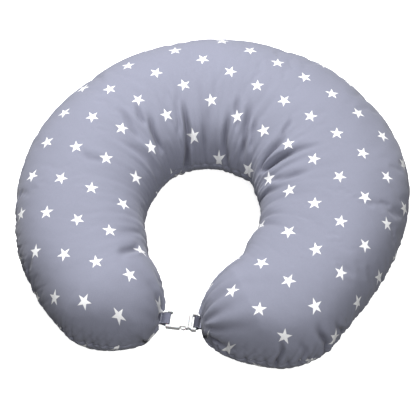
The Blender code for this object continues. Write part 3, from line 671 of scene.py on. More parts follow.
# %% Where the folds lie
FOLDS = (
    # along 1, across 1, along 2, across 2, depth mm, half width mm
    (-0.072, -0.26, -0.109, -0.99, 5.6, 4.6),
    (-0.086, -0.24, -0.113, -0.78, 2.6, 4.0),
    (-0.152, -0.30, -0.182, -0.84, 4.2, 5.0),
    (-0.160, -0.08, -0.174, -0.48, 2.2, 5.0),
    (-0.184, 0.02, -0.206, -0.56, 2.0, 6.0),
    (-0.285, 0.10, -0.290, -0.30, 1.6, 6.0),
    (-0.232, -0.30, -0.226, -0.95, 1.8, 6.0),
    (-0.030, -0.30, -0.040, -0.95, 1.7, 5.5),
    (0.014, -0.44, 0.033, -0.98, 3.6, 4.6),
    (0.026, -0.28, 0.046, -0.72, 2.4, 4.6),
    (0.048, -0.22, 0.092, -0.94, 3.6, 5.0),
    (0.074, -0.40, 0.108, -0.86, 2.4, 4.4),
    (0.136, -0.20, 0.154, -0.48, 2.0, 3.8),
    (0.156, -0.36, 0.172, -0.92, 5.0, 5.0),
    (0.203, -0.40, 0.187, -0.90, 4.0, 4.2),
    (0.212, -0.06, 0.194, -0.86, 3.6, 4.8),
    (0.262, -0.30, 0.244, -0.84, 2.6, 6.0),
    (0.272, -0.60, 0.256, -0.99, 2.6, 4.4),
    (-0.484, -0.30, -0.472, -0.80, 3.2, 6.5),
    (-0.440, -0.40, -0.425, -0.95, 1.4, 7.0),
    (0.352, -0.62, 0.338, -1.00, 2.6, 6.0),
    (0.392, -0.55, 0.380, -0.98, 1.5, 6.0),
    (0.506, 0.80, 0.518, 1.00, 4.2, 3.6),
    (0.466, 0.76, 0.464, 1.00, 5.0, 5.0),
    (0.447, 0.86, 0.440, 1.00, 3.2, 4.0),
    (0.486, 0.84, 0.490, 1.00, 2.0, 5.0),
    (-0.291, 0.84, -0.313, 0.97, 1.6, 4.0),
    (-0.330, 0.84, -0.350, 0.98, 1.6, 4.0),
    (-0.415, 0.80, -0.425, 0.98, 1.8, 5.0),
)
FADE_PAST_SEAM = 0.35
FOLD_SCALE = 1.3
FOLD_WANDER = 0.0016
AT_SEAM = 0.97
SHOULDER_AT = 2.1
SHOULDER_WIDTH = 1.3
SHOULDER_HEIGHT = 0.30


# %% Lay the folds
def arc_share(turn_run, count):
    """Signed share of the arc from the middle of its panel, -1 or 1 at the seams, for each row."""
    half = count // 2
    share = np.where(np.arange(count) <= half, turn_run / np.abs(turn_run[0]),
                     turn_run / np.abs(turn_run[half + 1:]).max())
    return np.clip(share, -1, 1)


q_turn, z_turn, run_turn = section_turn(FINE_AROUND)
share_turn = arc_share(run_turn, FINE_AROUND)
half_row = FINE_AROUND // 2
is_top = np.arange(FINE_AROUND) <= half_row
_, _, skin_width, skin_run = stations(FINE_ALONG)
stretch = np.linalg.norm(np.gradient(skin, axis=0), axis=2) / np.gradient(skin_run)[:, None]
# On the underside the share counts on past 1, so that a fold can run over the seam.
beyond = np.where(is_top, share_turn, np.sign(share_turn) * (2.0 - np.abs(share_turn)))


def to_share(q):
    """Share of the crown's arc at a share of the way across."""
    order = np.argsort(q_turn[is_top])
    return np.interp(q, q_turn[is_top][order], share_turn[is_top][order])


def valley(away, half_width):
    bottom = np.exp(-(away / half_width) ** 2)
    shoulders = sum(
        np.exp(-((away + side * SHOULDER_AT * half_width) / (SHOULDER_WIDTH * half_width)) ** 2)
        for side in (-1, 1))
    return SHOULDER_HEIGHT * shoulders - bottom


def folds_height():
    height = np.zeros(skin.shape[:2])
    for run_a, q_a, run_b, q_b, depth, half_width in FOLDS:
        a, b = to_share(q_a), to_share(q_b)
        t = (beyond - a) / (b - a)
        if abs(q_b) < AT_SEAM:
            fade = smooth_step(t / 0.45) * (1.0 - smooth_step((t - 0.8) / 0.35))
        else:
            fade = smooth_step(t / 0.55) * (1.0 - smooth_step((t - 1.0) / FADE_PAST_SEAM))
        line = run_a + (run_b - run_a) * np.clip(t, -0.5, 1.6)
        wander = FOLD_WANDER * np.sin(7.0 * t + 40.0 * run_a)
        away = (skin_run[:, None] - (line + wander)[None]) * stretch
        narrow = half_width * 0.001 * (1.15 - 0.3 * np.clip(t, 0, 1))
        height += FOLD_SCALE * depth * 0.001 * valley(away, narrow[None]) * fade[None]
    return height


folds = folds_height()
print(len(FOLDS), "folds, deepest", round(-folds.min() * 1000, 1), "mm")

# %% [markdown]
# ## Seams and puckers
# The top and the underside are sewn together along one closed seam at half height. Thread pulls the
# cloth in there, so it makes a narrow groove with short puckers across it. They are strongest round
# the lobes, where a flat cut has to turn a tight corner.

# %% The seam as one closed line, and every point's place beside it
SEAM_GROOVE = 0.0016
SEAM_HALF_WIDTH = 0.0022
ROWS_BESIDE = 0.45
COLUMNS_BESIDE = 90

seam_line = np.vstack((skin[:, 0], skin[::-1, half_row]))
seam_run = run_along(seam_line)
seam_tree = kdtree.KDTree(len(seam_line))
for k, place in enumerate(seam_line):
    seam_tree.insert(place, k)
seam_tree.balance()
columns_from_tip = np.minimum(np.arange(FINE_ALONG), np.arange(FINE_ALONG)[::-1])
beside = (np.abs(share_turn) > ROWS_BESIDE)[None] | (columns_from_tip < COLUMNS_BESIDE)[:, None]
seam_at = np.zeros(skin.shape[:2])
seam_away = np.full(skin.shape[:2], 1.0)
for column, row in zip(*np.nonzero(beside)):
    _, nearest, distance = seam_tree.find(skin[column, row])
    seam_at[column, row] = seam_run[nearest]
    seam_away[column, row] = distance
print("seam", round(seam_run[-1], 3), "m round")

# %% Puckers along it
PUCKER_SEED = 11
PUCKER_STEP = 0.0125
PUCKER_REACH = 0.026
PUCKER_DEPTH = 0.0046
PUCKER_HALF_WIDTHS = (0.0018, 0.0038)
SEAM_STEPS = 4000

chance = np.random.default_rng(PUCKER_SEED)
pucker_height = np.zeros(SEAM_STEPS)
seam_fine = np.linspace(0.0, seam_run[-1], SEAM_STEPS)
seam_place = np.stack([np.interp(seam_fine, seam_run, seam_line[:, k]) for k in range(3)], -1)
# The thread pulls hardest round the lobes, harder on the left, and least round the hole.
pull = 0.35 + 0.9 * smooth_step((-0.02 - seam_place[:, 1]) / 0.12)
pull += 0.30 * smooth_step((-0.15 - seam_place[:, 0]) / 0.10)
round_hole = np.hypot(seam_place[:, 0], seam_place[:, 1] + 0.03) < 0.135
pull[round_hole] *= 0.45
at = 0.006
while at < seam_run[-1]:
    narrow = chance.uniform(*PUCKER_HALF_WIDTHS)
    deep = chance.uniform(0.3, 1.0) * PUCKER_DEPTH
    pucker_height -= deep * np.exp(-((seam_fine - at) / narrow) ** 2)
    at += PUCKER_STEP * chance.uniform(0.55, 1.5)
pucker_height *= pull
pucker_height -= pucker_height.mean()
wave = np.interp(seam_at, seam_fine, pucker_height)
lean = np.interp(seam_at + 0.5 * seam_away, seam_fine, pucker_height)
puckers = np.where(beside, 0.5 * (wave + lean) * np.exp(-(seam_away / PUCKER_REACH) ** 1.5), 0.0)
groove = -SEAM_GROOVE * np.exp(-(seam_away / SEAM_HALF_WIDTH) ** 2)
print("puckers down to", round(-puckers.min() * 1000, 1), "mm")

# %% [markdown]
# ## Where the tabs are sewn in
# A tab pulls on the lobe that it is sewn to. The cloth fans out from there in creases that start
# deep and fade over the lobe.

# %% The fans of creases
STRAP_Y = -0.2205
STRAP_Z = 0.070
LEFT_ROOT = -0.0519
RIGHT_ROOT = 0.0115
FANS = (
    # root, creases, reach, depth, seed
    (RIGHT_ROOT, 19, 0.078, 0.0078, 5),
    (LEFT_ROOT, 11, 0.034, 0.0036, 8),
)
FANS_WITHIN = 0.16


def fan(points, root_x, creases, reach, depth, seed):
    """Creases that fan out from a tab's root, along planes through the tab."""
    chance = np.random.default_rng(seed)
    across = points[..., 1] - STRAP_Y
    above = points[..., 2] - STRAP_Z
    angle = np.arctan2(above, across)
    from_root = np.sqrt((points[..., 0] - root_x) ** 2 + across ** 2 + above ** 2)
    height = np.zeros(points.shape[:2])
    for k in range(creases):
        way = -pi + (k + chance.uniform(0.15, 0.85)) * 2 * pi / creases
        bend = 0.9 * from_root / 0.08 * (chance.uniform() - 0.5)
        turn = (angle - way + bend + pi) % (2 * pi) - pi
        off = turn * np.maximum(np.hypot(across, above), 0.004)
        narrow = chance.uniform(0.0018, 0.0036) * (1 + from_root / 0.05)
        fade = np.exp(-(from_root / (reach * chance.uniform(0.5, 1.1))) ** 2)
        height += depth * chance.uniform(0.5, 1.0) * valley(off, narrow) * fade
    return height * smooth_step((from_root - 0.004) / 0.010)


fans = sum(fan(skin, *row) for row in FANS)
fans[np.abs(skin[..., 0]) > FANS_WITHIN] = 0.0
print("fans down to", round(-fans.min() * 1000, 1), "mm")

# %% [markdown]
# ## Small ripples
# Between the folds the cloth isn't smooth either. Noise that is drawn out across the C makes faint
# gathers near the hole, and a broad, low noise makes the filling look a little uneven. At the end
# no point of the cover may be under the floor.

# %% Ripples, and all of it put together
GATHER_HEIGHT = 0.0021
GATHERS_ALONG = 78.0
GATHERS_ACROSS = 9.0
LUMP_HEIGHT = 0.0016
LUMPS_PER_METRE = 15.0
# The painted shade in the creases is full where the cloth sinks this deep.
PAINTED_SHADE_FULL_DEPTH = 0.0055
CALM_COLUMNS = 6.0

gather_places = np.empty(skin.shape)
gather_places[..., 0] = skin_run[:, None] * GATHERS_ALONG
gather_places[..., 1] = share_turn[None] * skin_width[:, None] * 1.25 * GATHERS_ACROSS
gather_places[..., 2] = is_top[None] * 5.0
gathers = ripple(gather_places, 1.0) * smooth_step((0.25 - share_turn) / 0.8)[None]
gathers *= (0.4 + 0.6 * smooth_step((0.33 - np.abs(skin_run - 0.03)) / 0.12))[:, None]
gathers *= GATHER_HEIGHT
lumps = LUMP_HEIGHT * ripple(skin, LUMPS_PER_METRE)
height_map = folds + puckers + groove + fans + gathers + lumps
# Painted shade: this map darkens the cloth's colour where folds, puckers, fans and gathers sink in,
# standing in for the shade in creases.
painted_crease_shade_map = np.clip(-(folds + 1.2 * puckers + fans + gathers) / PAINTED_SHADE_FULL_DEPTH, 0.0, 1.0)
calm = smooth_step(columns_from_tip / CALM_COLUMNS)
height_map *= calm[:, None]
skin = pushed_along(skin, skin_normals, height_map)
skin[..., 2] = np.maximum(skin[..., 2], 0.0)
print("skin with folds from", skin.reshape(-1, 3).min(0).round(4), "to",
      skin.reshape(-1, 3).max(0).round(4))

# %% [markdown]
# ## The zip's place
# The zip is sewn into the seam at the back of the left side. The cover goes under its tapes there,
# and a folded lip of cloth lies over the edge of each tape.

# %% Make room for the zip
ZIP_CENTRE = np.array((0.012926, -0.031806))
ZIP_RADIUS = 0.31665
ZIP_FROM = radians(22.6)
ZIP_TO = radians(68.8)
ZIP_BEYOND = 0.25
UNDER_TAPE = 0.0012
LIP_RISE = 0.0016


def make_room(points):
    from_centre = points[..., :2] - ZIP_CENTRE
    radius = np.linalg.norm(from_centre, axis=-1)
    bearing = np.arctan2(-from_centre[..., 0], from_centre[..., 1])
    inside = smooth_step((bearing - ZIP_FROM) / 0.02) * smooth_step((ZIP_TO - bearing) / 0.02)
    off = np.abs(points[..., 2] - SEAM_HEIGHT)
    inside = inside * (radius > ZIP_BEYOND)
    under = inside * smooth_step((0.0078 - off) / 0.0016)
    lip = inside * smooth_step((off - 0.0062) / 0.0014) * smooth_step((0.0135 - off) / 0.005)
    limit = np.where(under > 0.02, np.minimum(radius, ZIP_RADIUS - UNDER_TAPE * under), radius)
    to_lip = np.maximum(ZIP_RADIUS + LIP_RISE - limit, 0.0)
    limit = np.where(lip > 0.02, limit + to_lip * lip, limit)
    out = points.copy()
    out[..., :2] = ZIP_CENTRE + from_centre * (limit / np.maximum(radius, 1e-9))[..., None]
    return out


skin = make_room(skin)

# %% [markdown]
# ## Cutting the cover for the moving halves
# The arms swing apart round the back, so the back of the cover has to bend and the arms have to
# follow their half. The cover is three pieces that meet on two rings of shared points. Their
# normals come from the whole sheet, so no line shows where they meet.

# %% UV of the cloth, as it was cut
# How much of the arc's extra length shows in the print: 0 lays it on in plan, 1 along the arc.
OUTER_SLACK = 0.49
INNER_SLACK = 0.35
# The cloth of the right lobe has slipped this far on and out over the filling.
SLIP_AHEAD = 0.007
SLIP_OUT = 0.010
SLIP_FROM = 0.36
SLIP_OVER = 0.13


def cloth_places(columns):
    """Flat places of every point, for the top panel and for the underside."""
    _, outward, width, run = stations(columns)
    line, way = opened_line(outward, run)
    ahead = np.gradient(line, axis=0)
    ahead /= np.linalg.norm(ahead, axis=1)[:, None]
    slip = smooth_step((run - SLIP_FROM) / SLIP_OVER)[:, None]
    line = line - (ahead * SLIP_AHEAD + way * SLIP_OUT) * slip
    plan = q_turn[None] * width[:, None]
    arc = section_arcs(width, (HEIGHT - SEAM_HEIGHT) * height_share(width, HALF_WIDTHS[0]))
    slack = np.where(q_turn > 0, OUTER_SLACK, INNER_SLACK)
    across = plan + slack[None] * (arc - plan)
    return line[:, None] + way[:, None] * across[..., None]


def section_arcs(width, rise):
    """Length round the section from the middle of its panel, for every station and row."""
    out = np.empty((len(width), FINE_AROUND))
    for panel in (is_top, ~is_top):
        rows = np.nonzero(panel)[0]
        rows = rows[np.argsort(q_turn[rows])]
        q, z = q_turn[rows], np.abs(z_turn[rows])
        step = np.hypot(np.diff(q)[None] * width[:, None], np.diff(z)[None] * rise[:, None])
        run = np.concatenate((np.zeros((len(width), 1)), np.cumsum(step, 1)), 1)
        middle = run[:, np.argmin(np.abs(q))][:, None]
        out[:, rows] = run - middle
    return out


cloth_uv = cloth_places(FINE_ALONG)
print("cloth size", np.ptp(cloth_uv.reshape(-1, 2), axis=0).round(3), "m")

# %% Three pieces
ARMS_FROM_Y = -0.055
UNDERSIDE_SHIFT = (0.021, 0.033)
rim_y = skin[:, half_row, 1]
middle_column = int(np.argmin(np.abs(skin_run)))
left_cut = middle_column - int(np.argmax(rim_y[middle_column::-1] < ARMS_FROM_Y))
right_cut = middle_column + int(np.argmax(rim_y[middle_column:] < ARMS_FROM_Y))
whole_normals = surface_normals(skin)


def cover_piece(name, first, last):
    """The cover from one column to another, with its print's places and the painted shade of its
    creases.
    """
    obj = rolled_sheet(name, skin[first:last + 1])
    mesh = obj.data
    number = sheet_numbers(mesh) + first * FINE_AROUND
    corner_vert = np.empty(len(mesh.loops), np.int32)
    mesh.loops.foreach_get("vertex_index", corner_vert)
    sizes = np.empty(len(mesh.polygons), np.int32)
    mesh.polygons.foreach_get("loop_total", sizes)
    face_of = np.repeat(np.arange(len(sizes)), sizes)
    # A face is on the underside when any of its corners is past the inner seam.
    low_face = np.zeros(len(sizes), bool)
    np.logical_or.at(low_face, face_of, number[corner_vert] % FINE_AROUND > half_row)
    places = cloth_uv.reshape(-1, 2)[number[corner_vert]]
    places = places + np.where(low_face[face_of][:, None], UNDERSIDE_SHIFT, (0.0, 0.0))
    uv = mesh.uv_layers.new(name="cloth")
    uv.data.foreach_set("uv", places.astype(np.float32).ravel())
    mesh.attributes.remove(mesh.attributes["sheet_point"])
    # The painted crease shade goes with the piece as a point attribute.
    crease = mesh.attributes.new("crease", "FLOAT", "POINT")
    crease.data.foreach_set("value", painted_crease_shade_map.ravel()[number].astype(np.float32))
    normals = whole_normals.reshape(-1, 3)[number]
    mesh.normals_split_custom_set_from_vertices([tuple(n) for n in normals])
    print(name, len(mesh.polygons), "faces")
    return obj


cover_back = cover_piece("cover_back", left_cut, right_cut)
cover_left = cover_piece("cover_left_arm", 0, left_cut)
cover_right = cover_piece("cover_right_arm", right_cut, FINE_ALONG - 1)
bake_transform(cover_back)
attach(cover_left, "left_half")
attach(cover_right, "right_half")
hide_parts("cover_top_left", "cover_bottom_left")
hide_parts("cover_top_right", "cover_bottom_right")

# %% [markdown]
# ## Printed cotton
# The print is a rectangular lattice of small five-pointed stars, each turned its own way. A star is
# worked out from the flat coordinates of the cloth: which cell of the lattice a point is in, how
# far it is from the middle of that cell, and which side of the star's edge it is on.

# %% The print and the weave
STAR_RADIUS = 0.0108
STAR_INNER = 0.385
STAR_BLUR = 0.0002
LATTICE_TURN = radians(68.0)
LATTICE = (0.0581, 0.0499)
LATTICE_START = (0.0058, 0.0039)
CLOTH_COLOUR = (0.230, 0.238, 0.303)
STAR_COLOUR = (0.93, 0.93, 0.94)
# Painted shade: the colour and strength of the darkening painted into the creases.
PAINTED_CREASE_SHADE_COLOUR = (0.07, 0.07, 0.10)
PAINTED_CREASE_SHADE_STRENGTH = 0.60


def star_mask(f, u, v):
    """1 on the stars, 0 on the ground."""
    x = (u - LATTICE_START[0]) * cos(LATTICE_TURN) + (v - LATTICE_START[1]) * sin(LATTICE_TURN)
    y = (v - LATTICE_START[1]) * cos(LATTICE_TURN) - (u - LATTICE_START[0]) * sin(LATTICE_TURN)
    fifth = 2 * pi / 5
    column = f.maths("ROUND", x / LATTICE[0])
    row = f.maths("ROUND", y / LATTICE[1])
    x = x - column * LATTICE[0]
    y = y - row * LATTICE[1]
    turn = f.node("ShaderNodeTexWhiteNoise", {"noise_dimensions": "2D"}, vector=f.join(column, row))
    angle = f.maths("ARCTAN2", y, x) / fifth + turn
    side = f.maths("ABSOLUTE", angle - f.maths("ROUND", angle)) * fifth
    distance = f.maths("SQRT", x * x + y * y)
    ahead = distance * f.maths("COSINE", side)
    aside = distance * f.maths("SINE", side)
    inner = STAR_RADIUS * STAR_INNER
    across = inner * sin(fifth / 2)
    along = STAR_RADIUS - inner * cos(fifth / 2)
    length = sqrt(across * across + along * along)
    outside = (ahead - STAR_RADIUS) * (across / length) + aside * (along / length)
    return 1 - f.between(outside, -STAR_BLUR, STAR_BLUR)


def weave(f, u, v, thread):
    """Height of a plain weave, from two sets of uneven threads."""
    warp = f.noise(f.join(u * (1 / thread), v * (0.12 / thread)), 1.0, 2.0)
    weft = f.noise(f.join(u * (0.12 / thread), v * (1 / thread)), 1.0, 2.0)
    return warp + weft


printed = Finish("printed_cotton", CLOTH_COLOUR, 0.82,
                 {"Sheen Weight": 0.15, "Sheen Roughness": 0.5, "Specular IOR Level": 0.25})
u, v, _ = printed.split(printed.uv("cloth"))
stars = star_mask(printed, u, v)
threads = weave(printed, u, v, 0.0007)
patch = printed.noise(printed.place(), 9.0, 3.0)
darker, lighter, thread_colour = (tuple(c * k for c in CLOTH_COLOUR) for k in (0.93, 1.06, 1.25))
ground = printed.mix(patch, darker, lighter)
ground = printed.mix((threads - 0.7) * 0.5, ground, thread_colour)
# Painted shade: the cloth's colour is darkened towards near black in the creases, where shade falls.
crease = printed.node("ShaderNodeAttribute", {"attribute_name": "crease"}, out=2)
cloth = printed.mix(stars, ground, STAR_COLOUR)
printed.colour(printed.mix(crease * PAINTED_CREASE_SHADE_STRENGTH, cloth, PAINTED_CREASE_SHADE_COLOUR))
printed.roughness(0.84 - stars * 0.12)
printed.bump(threads, 0.25, 0.0006)
printed.on(cover_back, cover_left, cover_right)

# %% [markdown]
# ## The bag of filling
# Under the cover is a plain white cotton bag, and the bag is full of polyester fibre. Both are the
# same form a little smaller, cut in two at the bend with `bisect_plane`, so that each half goes with
# its arm. `holes_fill` closes the cut.

# %% Casing and filling, in two halves each
BEND_X = -0.005775
HALVES_GAP = 0.0002
BAG_ALONG = 200
BAG_AROUND = 72
CASING_INSET = 0.0120
FILLING_INSET = 0.0145
SIDES = {"left": -1, "right": 1}


def stuffed_half(kind, inset, word):
    side = SIDES[word]
    points = cushion_points(BAG_ALONG, BAG_AROUND, inset)
    obj = rolled_sheet(f"{kind}_half_{word}", points + eased_out(points))
    obj.data.attributes.remove(obj.data.attributes["sheet_point"])
    bm = bmesh.new()
    bm.from_mesh(obj.data)
    everything = bm.verts[:] + bm.edges[:] + bm.faces[:]
    bmesh.ops.bisect_plane(bm, geom=everything, plane_co=(BEND_X + side * HALVES_GAP, 0, 0),
                           plane_no=(-side, 0, 0), clear_outer=True)
    bmesh.ops.holes_fill(bm, edges=[e for e in bm.edges if e.is_boundary])
    bmesh.ops.triangulate(bm, faces=[f for f in bm.faces if len(f.verts) > 4])
    bmesh.ops.recalc_face_normals(bm, faces=bm.faces)
    bm.to_mesh(obj.data)
    print(obj.name, len(bm.faces), "faces, open edges", sum(e.is_boundary for e in bm.edges))
    bm.free()
    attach(obj, f"{word}_half")
    return obj


casings = [stuffed_half("casing", CASING_INSET, word) for word in SIDES]
fillings = [stuffed_half("filling", FILLING_INSET, word) for word in SIDES]
for casing, filling, word in zip(casings, fillings, SIDES):
    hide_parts(f"casing_top_{word}", f"casing_bottom_{word}")
    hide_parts(f"filling_{word}")

# %% White cotton and fibre
bag_cotton = Finish("casing_cotton", (0.86, 0.86, 0.84), 0.9, {"Specular IOR Level": 0.25})
x, y, z = bag_cotton.split(bag_cotton.place())
bag_threads = weave(bag_cotton, x, y + z * 0.4, 0.0009)
bag_cotton.colour(bag_cotton.mix(bag_threads - 0.4, (0.76, 0.76, 0.74), (0.90, 0.90, 0.88)))
bag_cotton.bump(bag_threads, 0.3, 0.0008)
bag_cotton.on(*casings)

fibre = Finish("polyester_fibre", (0.93, 0.93, 0.92), 0.95, {"Sheen Weight": 0.4})
tangle = fibre.noise(fibre.place(), 180.0, 6.0, 0.75)
tufts = fibre.noise(fibre.place(), 28.0, 3.0, 0.6)
fibre.colour(fibre.mix(tufts, (0.84, 0.84, 0.83), (0.95, 0.95, 0.94)))
fibre.bump(tangle + tufts * 2, 0.6, 0.004)
fibre.on(*fillings)

# %% [markdown]
# ## The two tabs
# Each half of the buckle is held by a short tab of folded cloth. One row of points follows the fold
# seen from the side: along the top layer, round the buckle's bar and back along the lower layer.
# `extrude_edge_only` draws that row out to the tab's width, and `solidify` gives it its thickness.

# %% A folded tab
TAB_WIDTH = 0.0190
TAB_THICKNESS = 0.0011
TAB_COLUMNS = 40
LAYER_AT_ROOT = 0.0006
LAYER_AT_BAR = 0.00345
FOLD_STEP = 0.0004
HEM_WIDTH = 0.0016
HEM_RISE = 0.00022
HEM_STEP = 0.0006
STITCHED_IN = 0.00016
STITCHED_WIDTH = 0.0004
WAVE_HEIGHT = 0.00012
WAVES_PER_METRE = 300


def tab_path(root, neck, loop_start, loop_end):
    """(x, height over the seam) along the fold, at even steps, with the corners eased."""
    way = 1.0 if loop_end > root else -1.0
    tip = loop_end - way * TAB_THICKNESS / 2
    top = [(root, LAYER_AT_ROOT), (neck, LAYER_AT_ROOT),
           (loop_start, LAYER_AT_BAR), (tip, LAYER_AT_BAR)]
    corners = np.array(top + [(x, -z) for x, z in reversed(top)])
    run = run_along(corners)
    at = np.linspace(0.0, run[-1], int(run[-1] / FOLD_STEP) + 1)
    path = np.stack((np.interp(at, run, corners[:, 0]), np.interp(at, run, corners[:, 1])), -1)
    for _ in range(5):
        path[1:-1] = 0.25 * path[:-2] + 0.5 * path[1:-1] + 0.25 * path[2:]
    return path


def tab(name, path, seed):
    """A folded tab with stitched hems and a slightly uneven surface."""
    bm = bmesh.new()
    row = [bm.verts.new((x, STRAP_Y - TAB_WIDTH / 2, STRAP_Z + z)) for x, z in path]
    edges = [bm.edges.new(pair) for pair in zip(row, row[1:])]
    for _ in range(TAB_COLUMNS):
        made = bmesh.ops.extrude_edge_only(bm, edges=edges)["geom"]
        fresh = [v for v in made if isinstance(v, bmesh.types.BMVert)]
        bmesh.ops.translate(bm, verts=fresh, vec=(0.0, TAB_WIDTH / TAB_COLUMNS, 0.0))
        edges = [e for e in made if isinstance(e, bmesh.types.BMEdge)
                 and abs(e.verts[0].co.y - e.verts[1].co.y) < 1e-7]
    bmesh.ops.recalc_face_normals(bm, faces=bm.faces)
    bm.normal_update()
    outward = sum(f.normal.z for f in bm.faces if f.calc_center_median().z > STRAP_Z)
    if outward < 0:
        bmesh.ops.reverse_faces(bm, faces=bm.faces)
        bm.normal_update()
    places = {v: (v.co.copy(), v.normal.copy()) for v in bm.verts}
    for vert, (place, normal) in places.items():
        from_edge = TAB_WIDTH / 2 - abs(place.y - STRAP_Y)
        hem = HEM_RISE * smooth_step((HEM_WIDTH - from_edge) / HEM_STEP)
        dip = STITCHED_IN * exp(-((from_edge - HEM_WIDTH) / STITCHED_WIDTH) ** 2)
        wave = WAVE_HEIGHT * noise.noise(place * WAVES_PER_METRE + Vector((0, 0, seed)))
        vert.co = place + normal * (TAB_THICKNESS / 2 + hem - dip + wave)
    bmesh.ops.solidify(bm, geom=bm.verts[:] + bm.edges[:] + bm.faces[:], thickness=TAB_THICKNESS)
    bmesh.ops.recalc_face_normals(bm, faces=bm.faces)
    obj = built(name, bm)
    heights = [v.co.z for v in obj.data.vertices]
    print(name, len(heights), "points,", round((max(heights) - min(heights)) * 1000, 2), "mm thick")
    return obj


left_path = tab_path(LEFT_ROOT, -0.0478, -0.0430, -0.0360)
right_path = tab_path(RIGHT_ROOT, 0.0074, 0.0056, -0.0014)
tab_left = tab("tab_left", left_path, 3)
tab_right = tab("tab_right", right_path, 9)
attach(tab_left, "left_half")
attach(tab_right, "right_half")
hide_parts("strap_left")
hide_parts("strap_right")

# %% [markdown]
# ## Stitches
# A stitch is a short round thread that dips into the cloth at both ends: a small sphere drawn out
# along the seam. A line of them runs down both edges of each tab, and a bar tack holds the two
# layers together where the tab meets the cushion.

# %% Rows of stitches
STITCH_LENGTH = 0.0021
STITCH_STEP = 0.0027
STITCH_RADIUS = 0.00026
STITCH_RISE = 0.0001
ROW_START = 0.0042
ROW_STOP = 0.0012
TACK_COUNT = 22
TACK_WIDTH = 0.0174
TACK_LEAN = 0.0003
TACK_RADIUS = 0.00034
TACK_HEIGHT = 0.00165
CROSS_THREAD_INSET = 0.0006
CROSS_THREAD_WIDTH = 0.0172
CROSS_THREAD_RADIUS = 0.0003
CROSS_THREAD_HEIGHT = 0.0015


def add_stitch(bm, a, b, radius=STITCH_RADIUS):
    """A drawn-out sphere from a to b, added to bm."""
    a, b = Vector(a), Vector(b)
    made = bmesh.ops.create_uvsphere(bm, u_segments=8, v_segments=6, radius=1.0)["verts"]
    turn = (b - a).to_track_quat("Z", "Y").to_matrix().to_4x4()
    size = Matrix.Diagonal((radius, radius, (b - a).length / 2, 1.0))
    bmesh.ops.transform(bm, matrix=Matrix.Translation((a + b) / 2) @ turn @ size, verts=made)


def thread_piece(name, body, fill_in):
    """One object of thread that rides a body; fill_in adds its stitches."""
    bm = bmesh.new()
    fill_in(bm)
    obj = built(name, bm)
    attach(obj, body)
    print(name, len(obj.data.polygons), "faces")
    return obj


def edge_rows(path):
    """Two rows of stitches on the upper layer of a tab, one near each edge."""
    run = run_along(path)
    to_bar = run[np.abs(path[:, 0] - path[0, 0]).argmax()]
    over_seam = STRAP_Z + TAB_THICKNESS / 2 + STITCH_RISE

    def fill_in(bm):
        for side in (-1, 1):
            y = STRAP_Y + side * (TAB_WIDTH / 2 - HEM_WIDTH)
            at = ROW_START
            while at + STITCH_LENGTH < to_bar - ROW_STOP:
                ends = [(np.interp(s, run, path[:, 0]), y, over_seam + np.interp(s, run, path[:, 1]))
                        for s in (at, at + STITCH_LENGTH)]
                add_stitch(bm, *ends)
                at += STITCH_STEP
    return fill_in


def tack_rows(x_from, x_to):
    """Close stitches side by side over the neck of a tab, on two threads that cross under them."""
    def fill_in(bm):
        z = STRAP_Z + TACK_HEIGHT
        for k in range(TACK_COUNT):
            y = STRAP_Y + (k / (TACK_COUNT - 1) - 0.5) * TACK_WIDTH
            lean = TACK_LEAN * (-1) ** k
            add_stitch(bm, (x_from, y - lean, z), (x_to, y + lean, z), TACK_RADIUS)
        z = STRAP_Z + CROSS_THREAD_HEIGHT
        for x in (x_from + CROSS_THREAD_INSET, x_to - CROSS_THREAD_INSET):
            ends = [(x, STRAP_Y + side * CROSS_THREAD_WIDTH / 2, z) for side in (-1, 1)]
            add_stitch(bm, *ends, CROSS_THREAD_RADIUS)
    return fill_in


thread_left = thread_piece("tab_stitching_left", "left_half", edge_rows(left_path))
thread_right = thread_piece("tab_stitching_right", "right_half", edge_rows(right_path))
tack_left = thread_piece("bar_tack_stitches_left", "left_half", tack_rows(-0.0509, -0.0485))
tack_right = thread_piece("bar_tack_stitches_right", "right_half", tack_rows(0.0081, 0.0105))
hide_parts("bar_tack_left")
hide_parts("bar_tack_right")

# %% Plain cloth of the tabs, and thread
strap_cotton = Finish("strap_cotton", (0.24, 0.25, 0.33), 0.85,
                      {"Sheen Weight": 0.15, "Specular IOR Level": 0.25})
x, y, z = strap_cotton.split(strap_cotton.place())
strap_threads = weave(strap_cotton, x + z * 0.7, y, 0.0006)
from_middle = strap_cotton.maths("ABSOLUTE", y - STRAP_Y)
# Painted shade: over the hems along both long edges, each tab is darkened towards near black, as shade
# on its edges.
painted_edge_shade = strap_cotton.between(from_middle, TAB_WIDTH / 2 - HEM_WIDTH - 0.0006, TAB_WIDTH / 2)
cloth = strap_cotton.mix(strap_threads - 0.5, (0.11, 0.115, 0.16), (0.18, 0.185, 0.245))
# Painted shade: the right tab, from x = -0.012 on, is darkened towards near black to stand in for the
# shade it lies in.
cloth = strap_cotton.mix(strap_cotton.between(x, -0.012, -0.002) * 0.8, cloth, (0.035, 0.035, 0.05))
strap_cotton.colour(strap_cotton.mix(painted_edge_shade * 0.8, cloth, (0.04, 0.04, 0.055)))
strap_cotton.bump(strap_threads, 0.35, 0.0006)
strap_cotton.on(tab_left, tab_right)

thread = Finish("grey_thread", (0.36, 0.37, 0.46), 0.6, {"Sheen Weight": 0.3})
x, y, z = thread.split(thread.place())
twist = thread.maths("SINE", (x + y + z) * 9000.0)
thread.colour(thread.mix(twist * 0.5 + 0.5, (0.27, 0.28, 0.36), (0.46, 0.47, 0.57)))
thread.bump(twist, 0.4, 0.0002)
thread.on(thread_left, thread_right, tack_left, tack_right)

# %% [markdown]
# ## The buckle
# The buckle's four parts keep the shapes of the solid model, because a click joint has to fit.
# Moulded acetal is white right through and slightly waxy. Its skin has a very fine grain, it is
# shinier where fingers rub it, and light passes a little way in.

# %% White acetal
def dress(finish, *names):
    """Gives solid-model nodes a finish through their material slots."""
    for name in names:
        for material_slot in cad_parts[name].material_slots:
            material_slot.material = finish.material
    print(finish.material.name, "on", ", ".join(names))


